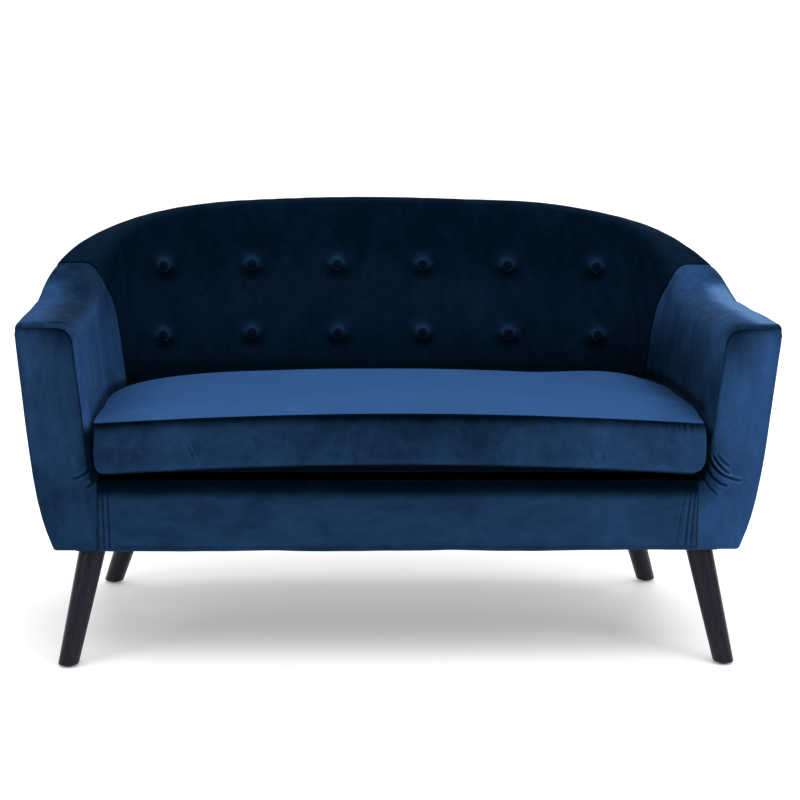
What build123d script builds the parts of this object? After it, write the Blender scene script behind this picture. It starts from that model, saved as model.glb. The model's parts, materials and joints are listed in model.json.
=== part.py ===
from build123d import *
import os
from collections import namedtuple
from math import atan2, cos, exp, hypot, pi, radians, sin, tan

# Two-seat tub sofa in millimetres: X to the right, Y to the back, Z up, origin on the floor under its middle

# Overall sizes
WIDTH = 1310
HEIGHT = 765
ARM_HEIGHT = 600
BASE_HEIGHT = 200
FACING_FRONT = -330
BACK_REAR = 357.5

# Outside of the tub: it tapers down to the base and tucks in at the hip
ARM_SHOULDER = 571
BACK_SHOULDER = 740
SIDE_TAPER = 0.10
BACK_TAPER = 0.12
SIDE_HIP = 24
BACK_HIP = 18
HIP_POWER = 6
PROFILE_LEVELS = (ARM_SHOULDER, 480, 400, 326, 284, 256, 236, 220)
PANEL_SHARES = (0, 0.06, 0.15, 0.3, 0.5, 0.75, 1)
OUTER_MIDDLE = -45
OUTER_POWER = 3.0
BASE_POWER = 3.6
BASE_POINTS = 20

# Inside of the tub: straight arms that flare, and a raked back
PAD_BOTTOM = 324
SEAT_HALF = 519
SEAT_REAR = 167.5
BACK_RAKE = 0.35
ARM_FLARE = 22
FLARE_HEIGHT = 229
INNER_MIDDLE = -145
SEAT_POWER = 4.5
TOP_POWER = 4.0
FLARE_LIMIT = 1.3

# The rim that the arms and the back follow, and the sweep from arm height to back height
RIM_HALF = 645
RIM_REAR = 350
SWEEP_START = 30
SWEEP_LENGTH = 272
ARM_STEPS = 9
BACK_STEPS = 16
SEAM_TURN = 16.7
CORNER_TURN = 37.2
UPRIGHT_TURN = 78
FRONT_CROWN = 28
SEAM_CROWN = 45
BACK_CROWN = 24
BACK_CROWN_TURN = 52
OUTER_CROWN = 14
REACH = (-320, 120)

# Upholstery
COVER = 4
WADDING = 2.5
LIP = 25
PAD_DEPTH = 50
PANEL = 5
FACING = 10
FACING_DRAW = 4
BORDER_TOP_ROUND = 7
BORDER_FOOT_ROUND = 3
SPILL = 8
SEAM_GAP = 0.6
SEAM_BLOCK = 250
LIP_GAP = 3

# Tufts and buttons
TUFT_COUNT = 6
TUFT_PITCH = 171.5
TUFT_HEIGHTS = (501, 633)
TUFT_RADIUS = 60
TUFT_DEPTH = 13
BUTTON_RADIUS = 11
BUTTON_EDGE = 3
BUTTON_DOME = 5
BUTTON_BEVEL = 1
BUTTON_ROOM = 1.8
TWINE_RADIUS = 1
TWINE_HOLE = 1.8
WASHER_RADIUS = 12
WASHER = 2

# Seat cushion
CUSHION_BOTTOM = 324
CUSHION_SEAM = 428
CUSHION_TOP = 443
CUSHION_FRONT = -341
CUSHION_SIDE_GAP = 2
CUSHION_REAR_GAP = 9
CUSHION_CORNER = 24
REAR_CORNER = 255
CUSHION_CLOTH = 3
CUSHION_SIDES = ((0, 26), (6, 14), (20, 5), (70, 2), (CUSHION_SEAM - CUSHION_BOTTOM, 0))
CUSHION_CROWN = ((0, 0), (4, 12), (8, 40), (12, 90), (CUSHION_TOP - CUSHION_SEAM, 150))

# Timber frame
BOARD = 20
RAIL = 12
FRONT_POST = 18
RAIL_DEPTH = 42
RAIL_TOP = 306
PANEL_GAP = 8
PLATE_BOTTOM = 201.5
SIDE_RAIL_FACE = 578
POST_WIDTH = 30
TACK_HEIGHT = 40
BEARER_HEIGHT = 40
BEARER_WIDTH = 24
DOWEL_RADIUS = 4
DOWEL_LENGTH = 30
SCREW_RADIUS = 2
SCREW_HEAD = 4
SCREW_LENGTH = 45
STRUT_Y = -90
PLATE_EDGE = SIDE_RAIL_FACE + 6
FRONT_PLATE = ((470, -320), (PLATE_EDGE, -320), (PLATE_EDGE, -190), (555, -190), (470, -270))
REAR_PLATE_EDGE = ((PLATE_EDGE, 20), (580, 80), (545, 140), (490, 195), (415, 236))
REAR_PLATE = (*REAR_PLATE_EDGE, (380, 236), (380, 205), (515, 20))
SCREW_PLACES = ((500, -310), (568, -262), (568, -220), (568, 50), (545, 120), (402, 229))

# Webbing and deck
WEB = 1.5
WEB_WIDTH = 60
WEB_PITCH = 130
WEB_COUNT = 7
WEB_SETBACK = 6
WEB_MARGIN = 2
CROSS_WEB_Y = (-200, -60, 80)
BACK_WEB = 1.2
BACK_WEB_ROOM = 4.5
BACK_WEB_WIDTH = 36
BACK_WEB_TURNS = (67.2, 82.2)
FELT = 12
DECK_CLOTH = 2
DUST_INSET = 9

# Legs
LEG_TOP_RADIUS = 23
LEG_FOOT_RADIUS = 17.5
FOOT_BEVEL = 2
LEG_OVERRUN = 20
FRONT_LEG = ((531, -290), (572, -340))
REAR_LEG = ((472, 147), (538, 215))
BOLT_RADIUS = 4
BOLT_DEPTH = 40
BOLT_TOP = 238
NUT_RADIUS = 5.5
NUT_FLANGE = 9
NUT_FLANGE_THICKNESS = 1.5
GLIDE_RADIUS = 9
GLIDE = 4
GLIDE_BEVEL = 1
NAIL_RADIUS = 1.5
NAIL_LENGTH = 14

PLATE_TOP = PLATE_BOTTOM + BOARD
COVER_FRONT = FACING_FRONT + FACING
FRAME_FRONT = COVER_FRONT + FRONT_POST
DECK_TOP = RAIL_TOP + 2 * WEB + FELT + DECK_CLOTH
POST_INSET = PANEL_GAP
LINING = COVER + WADDING

STANDING = (Align.CENTER, Align.CENTER, Align.MIN)
Station = namedtuple("Station", "x y out_x out_y height crown")


def outer_half_width(z):
    drop = max(ARM_SHOULDER - z, 0)
    share = drop / (ARM_SHOULDER - BASE_HEIGHT)
    return WIDTH / 2 - SIDE_TAPER * drop - SIDE_HIP * share**HIP_POWER


def outer_rear(z):
    drop = max(BACK_SHOULDER - z, 0)
    share = drop / (BACK_SHOULDER - BASE_HEIGHT)
    return BACK_REAR - BACK_TAPER * drop - BACK_HIP * share**HIP_POWER


def outer_power(z):
    share = max(ARM_SHOULDER - z, 0) / (ARM_SHOULDER - BASE_HEIGHT)
    return OUTER_POWER + (BASE_POWER - OUTER_POWER) * share


def inner_half_width(z):
    share = min(max(z - PAD_BOTTOM, 0) / FLARE_HEIGHT, FLARE_LIMIT)
    return SEAT_HALF + ARM_FLARE * share**1.5


def inner_rear(z):
    return SEAT_REAR + BACK_RAKE * (z - PAD_BOTTOM)


def inner_power(z):
    share = max(z - CUSHION_TOP, 0) / (HEIGHT - CUSHION_TOP)
    return SEAT_POWER + (TOP_POWER - SEAT_POWER) * share


def reach(station, half_width, rear, middle, power):
    """Distance along a station's outward line to a tub-shaped plan curve, found by halving."""
    low, high = REACH
    for _ in range(50):
        trial = (low + high) / 2
        x = abs(station.x + trial * station.out_x) / half_width
        y = max(station.y + trial * station.out_y - middle, 0) / (rear - middle)
        if x**power + y**power < 1:
            low = trial
        else:
            high = trial
    return low


def outer(station, z):
    return reach(station, outer_half_width(z), outer_rear(z), OUTER_MIDDLE, outer_power(z))


def inner(station, z):
    return reach(station, inner_half_width(z), inner_rear(z), INNER_MIDDLE, inner_power(z))


def rim_point(turn):
    bend = 2 / OUTER_POWER
    x = RIM_HALF * cos(radians(turn)) ** bend
    y = OUTER_MIDDLE + (RIM_REAR - OUTER_MIDDLE) * sin(radians(turn)) ** bend
    return x, y


def rim_travel(turn):
    """Length of the rim from the end of the straight arm to a turn."""
    steps = 200
    points = [rim_point(turn * i / steps) for i in range(steps + 1)]
    return sum(hypot(b[0] - a[0], b[1] - a[1]) for a, b in zip(points, points[1:]))


def sweep_share(turn):
    travel = max(rim_travel(turn) - SWEEP_START, 0)
    return 1 - exp(-((travel / SWEEP_LENGTH) ** 1.5))


def crown_radius(turn):
    if turn < SEAM_TURN:
        return FRONT_CROWN + (SEAM_CROWN - FRONT_CROWN) * turn / SEAM_TURN
    share = min((turn - SEAM_TURN) / (BACK_CROWN_TURN - SEAM_TURN), 1)
    return SEAM_CROWN + (BACK_CROWN - SEAM_CROWN) * share


def turn_station(turn):
    """Station on the curved right half of the rim."""
    x, y = rim_point(turn)
    slope_x = x ** (OUTER_POWER - 1) / RIM_HALF**OUTER_POWER
    slope_y = (y - OUTER_MIDDLE) ** (OUTER_POWER - 1) / (RIM_REAR - OUTER_MIDDLE) ** OUTER_POWER
    length = hypot(slope_x, slope_y)
    height = ARM_HEIGHT + (HEIGHT - ARM_HEIGHT) * sweep_share(turn) / sweep_share(90)
    return Station(x, y, slope_x / length, slope_y / length, height, crown_radius(turn))


def station_at(travel):
    """Station at a length along the rim, counted from the end of the straight right arm."""
    if travel <= 0:
        return Station(RIM_HALF, OUTER_MIDDLE + travel, 1, 0, ARM_HEIGHT, FRONT_CROWN)
    half = rim_travel(90)
    if travel > half:
        twin = station_at(2 * half - travel)
        return twin._replace(x=-twin.x, out_x=-twin.out_x)
    low, high = 0.0, 90.0
    for _ in range(40):
        trial = (low + high) / 2
        if rim_travel(trial) < travel:
            low = trial
        else:
            high = trial
    return turn_station(high)


def even_stations(first, last, steps):
    """Evenly spaced stations, with one more past each end."""
    step = (last - first) / steps
    return [station_at(first + step * i) for i in range(-1, steps + 2)]


def section_plane(station):
    return Plane(
        origin=(station.x, station.y, 0),
        x_dir=(station.out_x, station.out_y, 0),
        z_dir=(station.out_y, -station.out_x, 0),
    )


def rounded_face(corners):
    """Face through (x, y, radius) corners, each with a radius rounded by a tangent arc."""
    count = len(corners)
    marks = []
    for i, (x, y, radius) in enumerate(corners):
        here = Vector(x, y)
        back = (Vector(*corners[i - 1][:2]) - here).normalized()
        ahead = (Vector(*corners[(i + 1) % count][:2]) - here).normalized()
        half = radians(back.get_angle(ahead)) / 2
        tangent = radius / tan(half)
        middle = here + (back + ahead).normalized() * (radius / sin(half) - radius) if radius else here
        marks.append((here + back * tangent, middle, here + ahead * tangent))
    edges = []
    for i, (start, middle, end) in enumerate(marks):
        if corners[i][2]:
            edges.append(ThreePointArc(start, middle, end))
        edges.append(Line(end, marks[(i + 1) % count][0]))
    return make_face(edges)


def along_arm(section):
    """Loft of a section along the right arm, cut off at its front and at the seam."""
    stations = even_stations(COVER_FRONT - OUTER_MIDDLE, rim_travel(SEAM_TURN), ARM_STEPS)
    run = loft([section_plane(station) * section(station) for station in stations])
    front = box_between((0, COVER_FRONT - WIDTH / 2, 0), (WIDTH, COVER_FRONT, HEIGHT))
    return run - front - seam_block(-1)


def along_back(section):
    """Loft of a section along the back, cut off at both seams."""
    first = rim_travel(SEAM_TURN)
    stations = even_stations(first, 2 * rim_travel(90) - first, BACK_STEPS)
    run = loft([section_plane(station) * section(station) for station in stations])
    return run - seam_block(1) - mirrored(seam_block(1))


def seam_block(side):
    """Block on one side of the right seam between arm and back: 1 for the arm's side, -1 for the back's."""
    face = section_plane(turn_station(SEAM_TURN)).offset(-side * SEAM_GAP / 2)
    return extrude(face * Pos(0, HEIGHT / 2) * Rectangle(HEIGHT, 2 * HEIGHT), side * SEAM_BLOCK)


def mirrored(shape):
    return mirror(shape, about=Plane.YZ)


def upright_bar(x, y, bottom, top, radius):
    return Pos(x, y, bottom) * Cylinder(radius, top - bottom, align=STANDING)


def box_between(low, high):
    size = [b - a for a, b in zip(low, high)]
    return Pos(*low) * Box(*size, align=(Align.MIN, Align.MIN, Align.MIN))


def rear_line(station):
    """Ends of the pad's hidden rear face: at its bottom and under the lip, as (s, z)."""
    lip = station.height - LIP
    low = (inner(station, PAD_BOTTOM) + PAD_DEPTH, PAD_BOTTOM)
    high = (outer(station, lip) - PANEL_GAP - RAIL - BACK_WEB_ROOM, lip)
    return low, high


def pad_section(station, inset, spill=0):
    """Pad that lines the tub and rolls over its top; spill widens the hidden sides only."""
    top = station.height - inset
    lip = station.height - LIP - spill
    low, high = rear_line(station)
    foot = inner(station, PAD_BOTTOM) + inset
    crest = inner(station, station.height) + inset
    lean = (crest - foot) / (top - PAD_BOTTOM)
    return rounded_face(
        [
            (foot - lean * spill, PAD_BOTTOM - spill, 0),
            (crest, top, station.crown - inset),
            (outer(station, station.height) - inset, top, OUTER_CROWN - inset),
            (outer(station, station.height - LIP) - inset, lip, 0),
            (high[0] + spill, lip, 0),
            (low[0] + spill, PAD_BOTTOM - spill, 0),
        ]
    )


def pad_face(station):
    return pad_section(station, 0)


def cover_lining(station):
    return pad_section(station, COVER, SPILL)


def foam_face(station):
    return pad_section(station, LINING)


def panel_section(station):
    bottom = BASE_HEIGHT + SEAM_GAP
    top = station.height - LIP - LIP_GAP
    levels = [bottom + (top - bottom) * share for share in PANEL_SHARES]
    face = [(outer(station, z), z) for z in levels]
    lining = [(s - PANEL, z) for s, z in face]
    return make_face(
        [
            Spline(face),
            Line(face[-1], lining[-1]),
            Spline(lining[::-1]),
            Line(lining[0], face[0]),
        ]
    )


def rail_section(station):
    """Top rail under the rolled edge of the covers."""
    top = station.height - LIP - LIP_GAP
    face = outer(station, top) - PANEL_GAP
    foot = outer(station, top - RAIL_DEPTH) - PANEL_GAP
    bottom = top - RAIL_DEPTH
    corners = [(face, top), (face - RAIL, top), (foot - RAIL, bottom), (foot, bottom)]
    return make_face(Polyline(corners, close=True))


def tack_section(station):
    """Rail at deck height that the inside covers are drawn down to."""
    low, high = rear_line(station)
    lean = (high[0] - low[0]) / (high[1] - low[1])
    front = low[0] + BACK_WEB_ROOM
    rear = front + RAIL
    shift = lean * TACK_HEIGHT
    top = PAD_BOTTOM + TACK_HEIGHT
    corners = [(front, PAD_BOTTOM), (rear, PAD_BOTTOM), (rear + shift, top), (front + shift, top)]
    return make_face(Polyline(corners, close=True))


def post_face(station):
    return rear_line(station)[0][0] + BACK_WEB_ROOM + RAIL


def post(station, heel, neighbours):
    """Strut from the base rails to the top rail, cut to fit the rails that it meets."""
    rail_foot = station.height - LIP - LIP_GAP - RAIL_DEPTH
    rear = [(outer(station, z) - PANEL_GAP, z) for z in (PLATE_TOP, RAIL_TOP, CUSHION_SEAM, rail_foot)]
    top_front = (rear[-1][0] - RAIL, rail_foot)
    front = [top_front, (post_face(station), PAD_BOTTOM), (heel, RAIL_TOP), (heel, PLATE_TOP)]
    outline = section_plane(station) * make_face(Polyline(rear + front, close=True))
    blank = extrude(outline, POST_WIDTH / 2, both=True)
    for neighbour in neighbours:
        blank -= neighbour
    return blank


def arm_profile(inset, bottom):
    """Outline of the arm seen from the front, as a face in X and Z."""
    top = ARM_HEIGHT - inset
    corners = [
        (SEAT_HALF + inset, bottom, 0),
        (SEAT_HALF + inset, PAD_BOTTOM, 0),
        (inner_half_width(ARM_HEIGHT) + inset, top, FRONT_CROWN - inset),
        (outer_half_width(ARM_HEIGHT) - inset, top, OUTER_CROWN - inset),
    ]
    levels = [z for z in PROFILE_LEVELS if z > bottom + inset] + [bottom]
    corners += [(outer_half_width(z) - inset, z, 0) for z in levels]
    return rounded_face(corners)


def facing():
    """Padded front of the arm: a flat back, and a front drawn in round its edge."""
    rear = Plane.XZ.offset(SEAM_GAP - COVER_FRONT) * arm_profile(0, BASE_HEIGHT + SEAM_GAP)
    swell = Plane.XZ.offset(-FACING_FRONT - FACING_DRAW) * arm_profile(0, BASE_HEIGHT + SEAM_GAP)
    front = Plane.XZ.offset(-FACING_FRONT) * arm_profile(FACING_DRAW, BASE_HEIGHT + SEAM_GAP + FACING_DRAW)
    return loft([rear, swell], ruled=True) + loft([swell, front], ruled=True)


def arm_front_post():
    face = Plane.XZ.offset(-COVER_FRONT) * arm_profile(POST_INSET, PLATE_TOP)
    return extrude(face, FRONT_POST, dir=(0, 1, 0))


def front_border():
    top = DECK_TOP
    bottom = BASE_HEIGHT + SEAM_GAP
    profile = rounded_face(
        [
            (FACING_FRONT, bottom, BORDER_FOOT_ROUND),
            (COVER_FRONT, bottom, 0),
            (COVER_FRONT, top, 0),
            (FACING_FRONT, top, BORDER_TOP_ROUND),
        ]
    )
    width = 2 * (SEAT_HALF - SEAM_GAP / 2)
    return extrude(Plane.YZ.offset(-width / 2) * profile, width)


def crossing(angle_a, offset_a, angle_b, offset_b):
    """Where two plan lines meet, each given by its outward angle and its distance from the origin."""
    spread = sin(angle_b - angle_a)
    x = (offset_a * sin(angle_b) - offset_b * sin(angle_a)) / spread
    y = (offset_b * cos(angle_a) - offset_a * cos(angle_b)) / spread
    return x, y


def plan_solid(points, bottom, top):
    return extrude(Plane.XY.offset(bottom) * make_face(Polyline(*points, close=True)), top - bottom)


def seat_plan(z, front, draw):
    """Plan of what lies between the arms at a height, with round rear corners, drawn in all round."""
    half = inner_half_width(z) - CUSHION_SIDE_GAP - draw
    rear = inner_rear(z) - CUSHION_REAR_GAP - draw
    round_rear = REAR_CORNER - draw
    return Plane.XY.offset(z) * rounded_face(
        [
            (-half, front + draw, CUSHION_CORNER),
            (half, front + draw, CUSHION_CORNER),
            (half, rear, round_rear),
            (-half, rear, round_rear),
        ]
    )


def base_plan(inset):
    """Plan of the base at its underside, drawn in from the outside panels."""
    half = outer_half_width(BASE_HEIGHT) - inset
    depth = outer_rear(BASE_HEIGHT) - inset - OUTER_MIDDLE
    bend = 2 / BASE_POWER
    curve = []
    for i in range(BASE_POINTS + 1):
        turn = radians(180 * i / BASE_POINTS)
        side = 1 if turn < pi / 2 else -1
        curve.append((side * half * abs(cos(turn)) ** bend, OUTER_MIDDLE + depth * sin(turn) ** bend))
    rear = Spline(curve, tangents=[(0, 1), (0, -1)])
    front = Polyline(curve[-1], (-half, COVER_FRONT), (half, COVER_FRONT), curve[0])
    return Plane.XY.offset(BASE_HEIGHT) * make_face([rear, front])


def cushion(shrink):
    """Box cushion with sides drawn in below its top seam, and a crown above it."""
    bottom = CUSHION_BOTTOM + shrink
    seam_height = CUSHION_SEAM - shrink
    scale = (seam_height - bottom) / (CUSHION_SEAM - CUSHION_BOTTOM)
    sides = [seat_plan(bottom + rise * scale, CUSHION_FRONT, draw + shrink) for rise, draw in CUSHION_SIDES]
    crown = [seat_plan(seam_height + rise, CUSHION_FRONT, draw + shrink) for rise, draw in CUSHION_CROWN]
    return loft(sides) + loft(crown)


def tuft_places(blank):
    """Where the buttons are drawn in: points of the inside back, and the way from each to the sitter."""
    places = []
    for z in TUFT_HEIGHTS:
        for i in range(TUFT_COUNT):
            sight = Axis(((i - (TUFT_COUNT - 1) / 2) * TUFT_PITCH, 0, z), (0, 1, 0))
            hits = blank.find_intersection_points(sight)
            places.append(min(hits, key=lambda hit: hit[0].Y))
    return places


def tufted(blank, deeper):
    """Blank with a round hollow at every tuft; deeper widens each hollow about its centre."""
    for place, towards in tufts:
        centre = place + towards * (TUFT_RADIUS - TUFT_DEPTH)
        blank -= Pos(*centre) * Sphere(TUFT_RADIUS + deeper)
    return blank


def button_blank():
    edge = Line((0, 0), (BUTTON_RADIUS - BUTTON_BEVEL, 0))
    bevel = Line((BUTTON_RADIUS - BUTTON_BEVEL, 0), (BUTTON_RADIUS, BUTTON_BEVEL))
    rim = Line((BUTTON_RADIUS, BUTTON_BEVEL), (BUTTON_RADIUS, BUTTON_EDGE))
    top = BUTTON_EDGE + BUTTON_DOME
    shoulder = (BUTTON_RADIUS * 0.6, BUTTON_EDGE + BUTTON_DOME * 0.64)
    crown = Spline([(BUTTON_RADIUS, BUTTON_EDGE), shoulder, (0, top)], tangents=[(-0.2, 1), (-1, 0)])
    axis = Line((0, top), (0, 0))
    return revolve(Plane.XZ * make_face([edge, bevel, rim, crown, axis]), Axis.Z)


def leg(top, foot):
    """Turned leg that tapers downwards and splays outwards, cut level at both ends."""
    sole = Vector(*foot, GLIDE)
    run = Vector(*top, BASE_HEIGHT) - sole
    growth = (LEG_TOP_RADIUS - LEG_FOOT_RADIUS) / run.length * LEG_OVERRUN
    length = run.length + 2 * LEG_OVERRUN
    turning = Cone(LEG_FOOT_RADIUS - growth, LEG_TOP_RADIUS + growth, length, align=STANDING)
    blank = Plane(sole - run.normalized() * LEG_OVERRUN, z_dir=run) * turning
    reach_out = LEG_TOP_RADIUS + LEG_OVERRUN
    low = (min(top[0], foot[0]) - reach_out, min(top[1], foot[1]) - reach_out, GLIDE)
    high = (max(top[0], foot[0]) + reach_out, max(top[1], foot[1]) + reach_out, BASE_HEIGHT)
    shaft = blank & box_between(low, high)
    return chamfer(shaft.edges().group_by(Axis.Z)[0], FOOT_BEVEL)


def glide(foot):
    disc = upright_bar(*foot, 0, GLIDE, GLIDE_RADIUS)
    nail = upright_bar(*foot, GLIDE, GLIDE + NAIL_LENGTH, NAIL_RADIUS)
    return chamfer(disc.edges().sort_by(Axis.Z)[:1], GLIDE_BEVEL) + nail


def t_nut(top):
    barrel = upright_bar(*top, PLATE_BOTTOM + 2, PLATE_TOP, NUT_RADIUS)
    flange = upright_bar(*top, PLATE_TOP, PLATE_TOP + NUT_FLANGE_THICKNESS, NUT_FLANGE)
    return barrel + flange - upright_bar(*top, PLATE_BOTTOM, BOLT_TOP, BOLT_RADIUS)


def screw(x, y):
    neck = PLATE_BOTTOM + SCREW_HEAD - SCREW_RADIUS
    shank = upright_bar(x, y, neck, PLATE_BOTTOM + SCREW_LENGTH, SCREW_RADIUS)
    head = Pos(x, y, PLATE_BOTTOM) * Cone(SCREW_HEAD, SCREW_RADIUS, SCREW_HEAD - SCREW_RADIUS, align=STANDING)
    return shank + head


nodes = {}


def add_pair(name, right):
    nodes["right_" + name] = right
    nodes["left_" + name] = mirrored(right)


def both_sides(shapes):
    return list(shapes) + [mirrored(shape) for shape in shapes]


# Legs with their glides, bolts and nuts
leg_plans = {"front_leg": FRONT_LEG, "rear_leg": REAR_LEG}
tops = [plan[0] for plan in leg_plans.values()]
feet = [plan[1] for plan in leg_plans.values()]
glides = [glide(foot) for foot in feet]
bolts = [upright_bar(*top, BASE_HEIGHT - BOLT_DEPTH, BOLT_TOP, BOLT_RADIUS) for top in tops]
nuts = [t_nut(top) for top in tops]
for number, (name, (top, foot)) in enumerate(leg_plans.items()):
    add_pair(name, leg(top, foot) - bolts[number] - glides[number])
nodes["leg_glides"] = Compound(both_sides(glides))
nodes["leg_hanger_bolts"] = Compound(both_sides(bolts))
nodes["leg_t_nuts"] = Compound(both_sides(nuts))

# Base frame: rails set on edge over leg plates, with mitred rear corners
corner = turn_station(CORNER_TURN)
centre = turn_station(90)
corner_angle = atan2(corner.out_y, corner.out_x)
corner_face = corner.x * corner.out_x + corner.y * corner.out_y + post_face(corner)
rear_face = RIM_REAR + post_face(centre)
outer_side = crossing(0, SIDE_RAIL_FACE, corner_angle, corner_face)
inner_side = crossing(0, SIDE_RAIL_FACE - BOARD, corner_angle, corner_face - BOARD)
outer_back = crossing(corner_angle, corner_face, pi / 2, rear_face)
inner_back = crossing(corner_angle, corner_face - BOARD, pi / 2, rear_face - BOARD)
side_front = [(SIDE_RAIL_FACE - BOARD, FRAME_FRONT), (SIDE_RAIL_FACE, FRAME_FRONT)]
side_rail = plan_solid(side_front + [outer_side, inner_side], PLATE_TOP, RAIL_TOP + WEB)
corner_rail = plan_solid([inner_side, outer_side, outer_back, inner_back], PLATE_TOP, RAIL_TOP)
rear_points = [inner_back, outer_back]
rear_points += [(-x, y) for x, y in reversed(rear_points)]
rear_rail = plan_solid(rear_points, PLATE_TOP, RAIL_TOP)
post_inner = SEAT_HALF + POST_INSET
front_rail = box_between((-post_inner, COVER_FRONT, PLATE_TOP), (post_inner, COVER_FRONT + BOARD, RAIL_TOP))
bearer = box_between(
    (-BEARER_WIDTH / 2, COVER_FRONT + BOARD, PLATE_TOP),
    (BEARER_WIDTH / 2, rear_face - BOARD, PLATE_TOP + BEARER_HEIGHT),
)

screws = [screw(x, y) for x, y in SCREW_PLACES]
plates = [plan_solid(points, PLATE_BOTTOM, PLATE_TOP) for points in (FRONT_PLATE, REAR_PLATE)]
for number, plate in enumerate(plates):
    for piece in nuts + bolts + screws:
        plate -= piece
    plates[number] = plate

# Upper frame: rails that follow the rim, and the posts between them
front_slab = box_between((0, FACING_FRONT, 0), (WIDTH, FRAME_FRONT, HEIGHT))
arm_top_rail = along_arm(rail_section) - front_slab
back_top_rail = along_back(rail_section)
arm_tack_rail = along_arm(tack_section) - front_slab
back_tack_rail = along_back(tack_section)
front_post = arm_front_post()
strut = station_at(STRUT_Y - OUTER_MIDDLE)
arm_strut = post(strut, SIDE_RAIL_FACE - RIM_HALF, [side_rail, arm_tack_rail, arm_top_rail])
corner_post = post(corner, post_face(corner), [corner_rail, back_tack_rail, back_top_rail])
upright = turn_station(UPRIGHT_TURN)
back_upright = post(upright, post_face(upright), [rear_rail, back_tack_rail, back_top_rail])


def dowel(place, direction):
    start = Vector(*place) - Vector(*direction) * DOWEL_LENGTH / 2
    return Plane(start, z_dir=direction) * Cylinder(DOWEL_RADIUS, DOWEL_LENGTH, align=STANDING)


def cut(blank, tools):
    for tool in tools:
        blank -= tool
    return blank


# Dowels at the butt joints, and the holes that they and the screws sit in
seam = turn_station(SEAM_TURN)
rail_front = station_at(FRAME_FRONT - OUTER_MIDDLE)
front_rail_centre = (section_plane(rail_front) * rail_section(rail_front)).center()
seam_rail_centre = (section_plane(seam) * rail_section(seam)).center()
dowels = [dowel(front_rail_centre, (0, 1, 0)), dowel(seam_rail_centre, (-seam.out_y, seam.out_x, 0))]
for z in (PLATE_TOP + BOARD, RAIL_TOP - BOARD):
    dowels.append(dowel((post_inner, COVER_FRONT + FRONT_POST / 2, z), (1, 0, 0)))
    dowels.append(dowel((SIDE_RAIL_FACE - BOARD / 2, FRAME_FRONT, z), (0, 1, 0)))
all_dowels = both_sides(dowels)
all_screws = both_sides(screws)

nodes["front_rail"] = cut(front_rail, all_dowels + all_screws)
nodes["rear_rail"] = cut(rear_rail, all_screws)
nodes["centre_bearer"] = bearer
add_pair("side_rail", cut(side_rail, dowels + screws))
add_pair("rear_corner_rail", cut(corner_rail, screws))
add_pair("arm_front_post", cut(front_post, dowels))
add_pair("arm_top_rail", cut(arm_top_rail, dowels))
add_pair("arm_tack_rail", arm_tack_rail)
add_pair("arm_strut", arm_strut)
add_pair("rear_corner_post", corner_post)
add_pair("back_upright", back_upright)
nodes["back_top_rail"] = cut(back_top_rail, all_dowels)
nodes["back_tack_rail"] = back_tack_rail
nodes["leg_corner_plates"] = Compound(both_sides(plates))
nodes["frame_dowels"] = Compound(all_dowels)
nodes["corner_plate_screws"] = Compound(all_screws)

# Webbing over the rails, with felt and cloth on it
web_rear = rear_face - WEB_SETBACK
webs = []
for i in range(WEB_COUNT):
    x = (i - (WEB_COUNT - 1) / 2) * WEB_PITCH
    low = (x - WEB_WIDTH / 2, COVER_FRONT + WEB_MARGIN, RAIL_TOP)
    webs.append(box_between(low, (x + WEB_WIDTH / 2, web_rear, RAIL_TOP + WEB)))
nodes["seat_webbing"] = Compound(webs)
cross_webs = []
for y in CROSS_WEB_Y:
    low = (WEB_MARGIN - SIDE_RAIL_FACE, y - WEB_WIDTH / 2, RAIL_TOP + WEB)
    cross_webs.append(box_between(low, (SIDE_RAIL_FACE - WEB_MARGIN, y + WEB_WIDTH / 2, RAIL_TOP + 2 * WEB)))
nodes["seat_cross_webbing"] = Compound(cross_webs)
felt_bottom = RAIL_TOP + 2 * WEB
nodes["deck_felt"] = extrude(seat_plan(felt_bottom, COVER_FRONT, 0), FELT)
nodes["deck_cloth"] = extrude(seat_plan(felt_bottom + FELT, COVER_FRONT, 0), DECK_CLOTH)


def back_web(turn):
    """Strap from the tack rail up to the top rail, just behind the back foam."""
    station = turn_station(turn)
    low, high = rear_line(station)
    slack = (BACK_WEB_ROOM - BACK_WEB) / 2
    outline = Polyline(
        (low[0] + slack, low[1]),
        (high[0] + slack, high[1] - LIP_GAP),
        (high[0] + slack + BACK_WEB, high[1] - LIP_GAP),
        (low[0] + slack + BACK_WEB, low[1]),
        close=True,
    )
    return extrude(section_plane(station) * make_face(outline), BACK_WEB_WIDTH / 2, both=True)


side_webs = [back_web(turn) for turn in BACK_WEB_TURNS]
nodes["back_webbing"] = Compound(both_sides(side_webs) + [back_web(90)])

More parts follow.
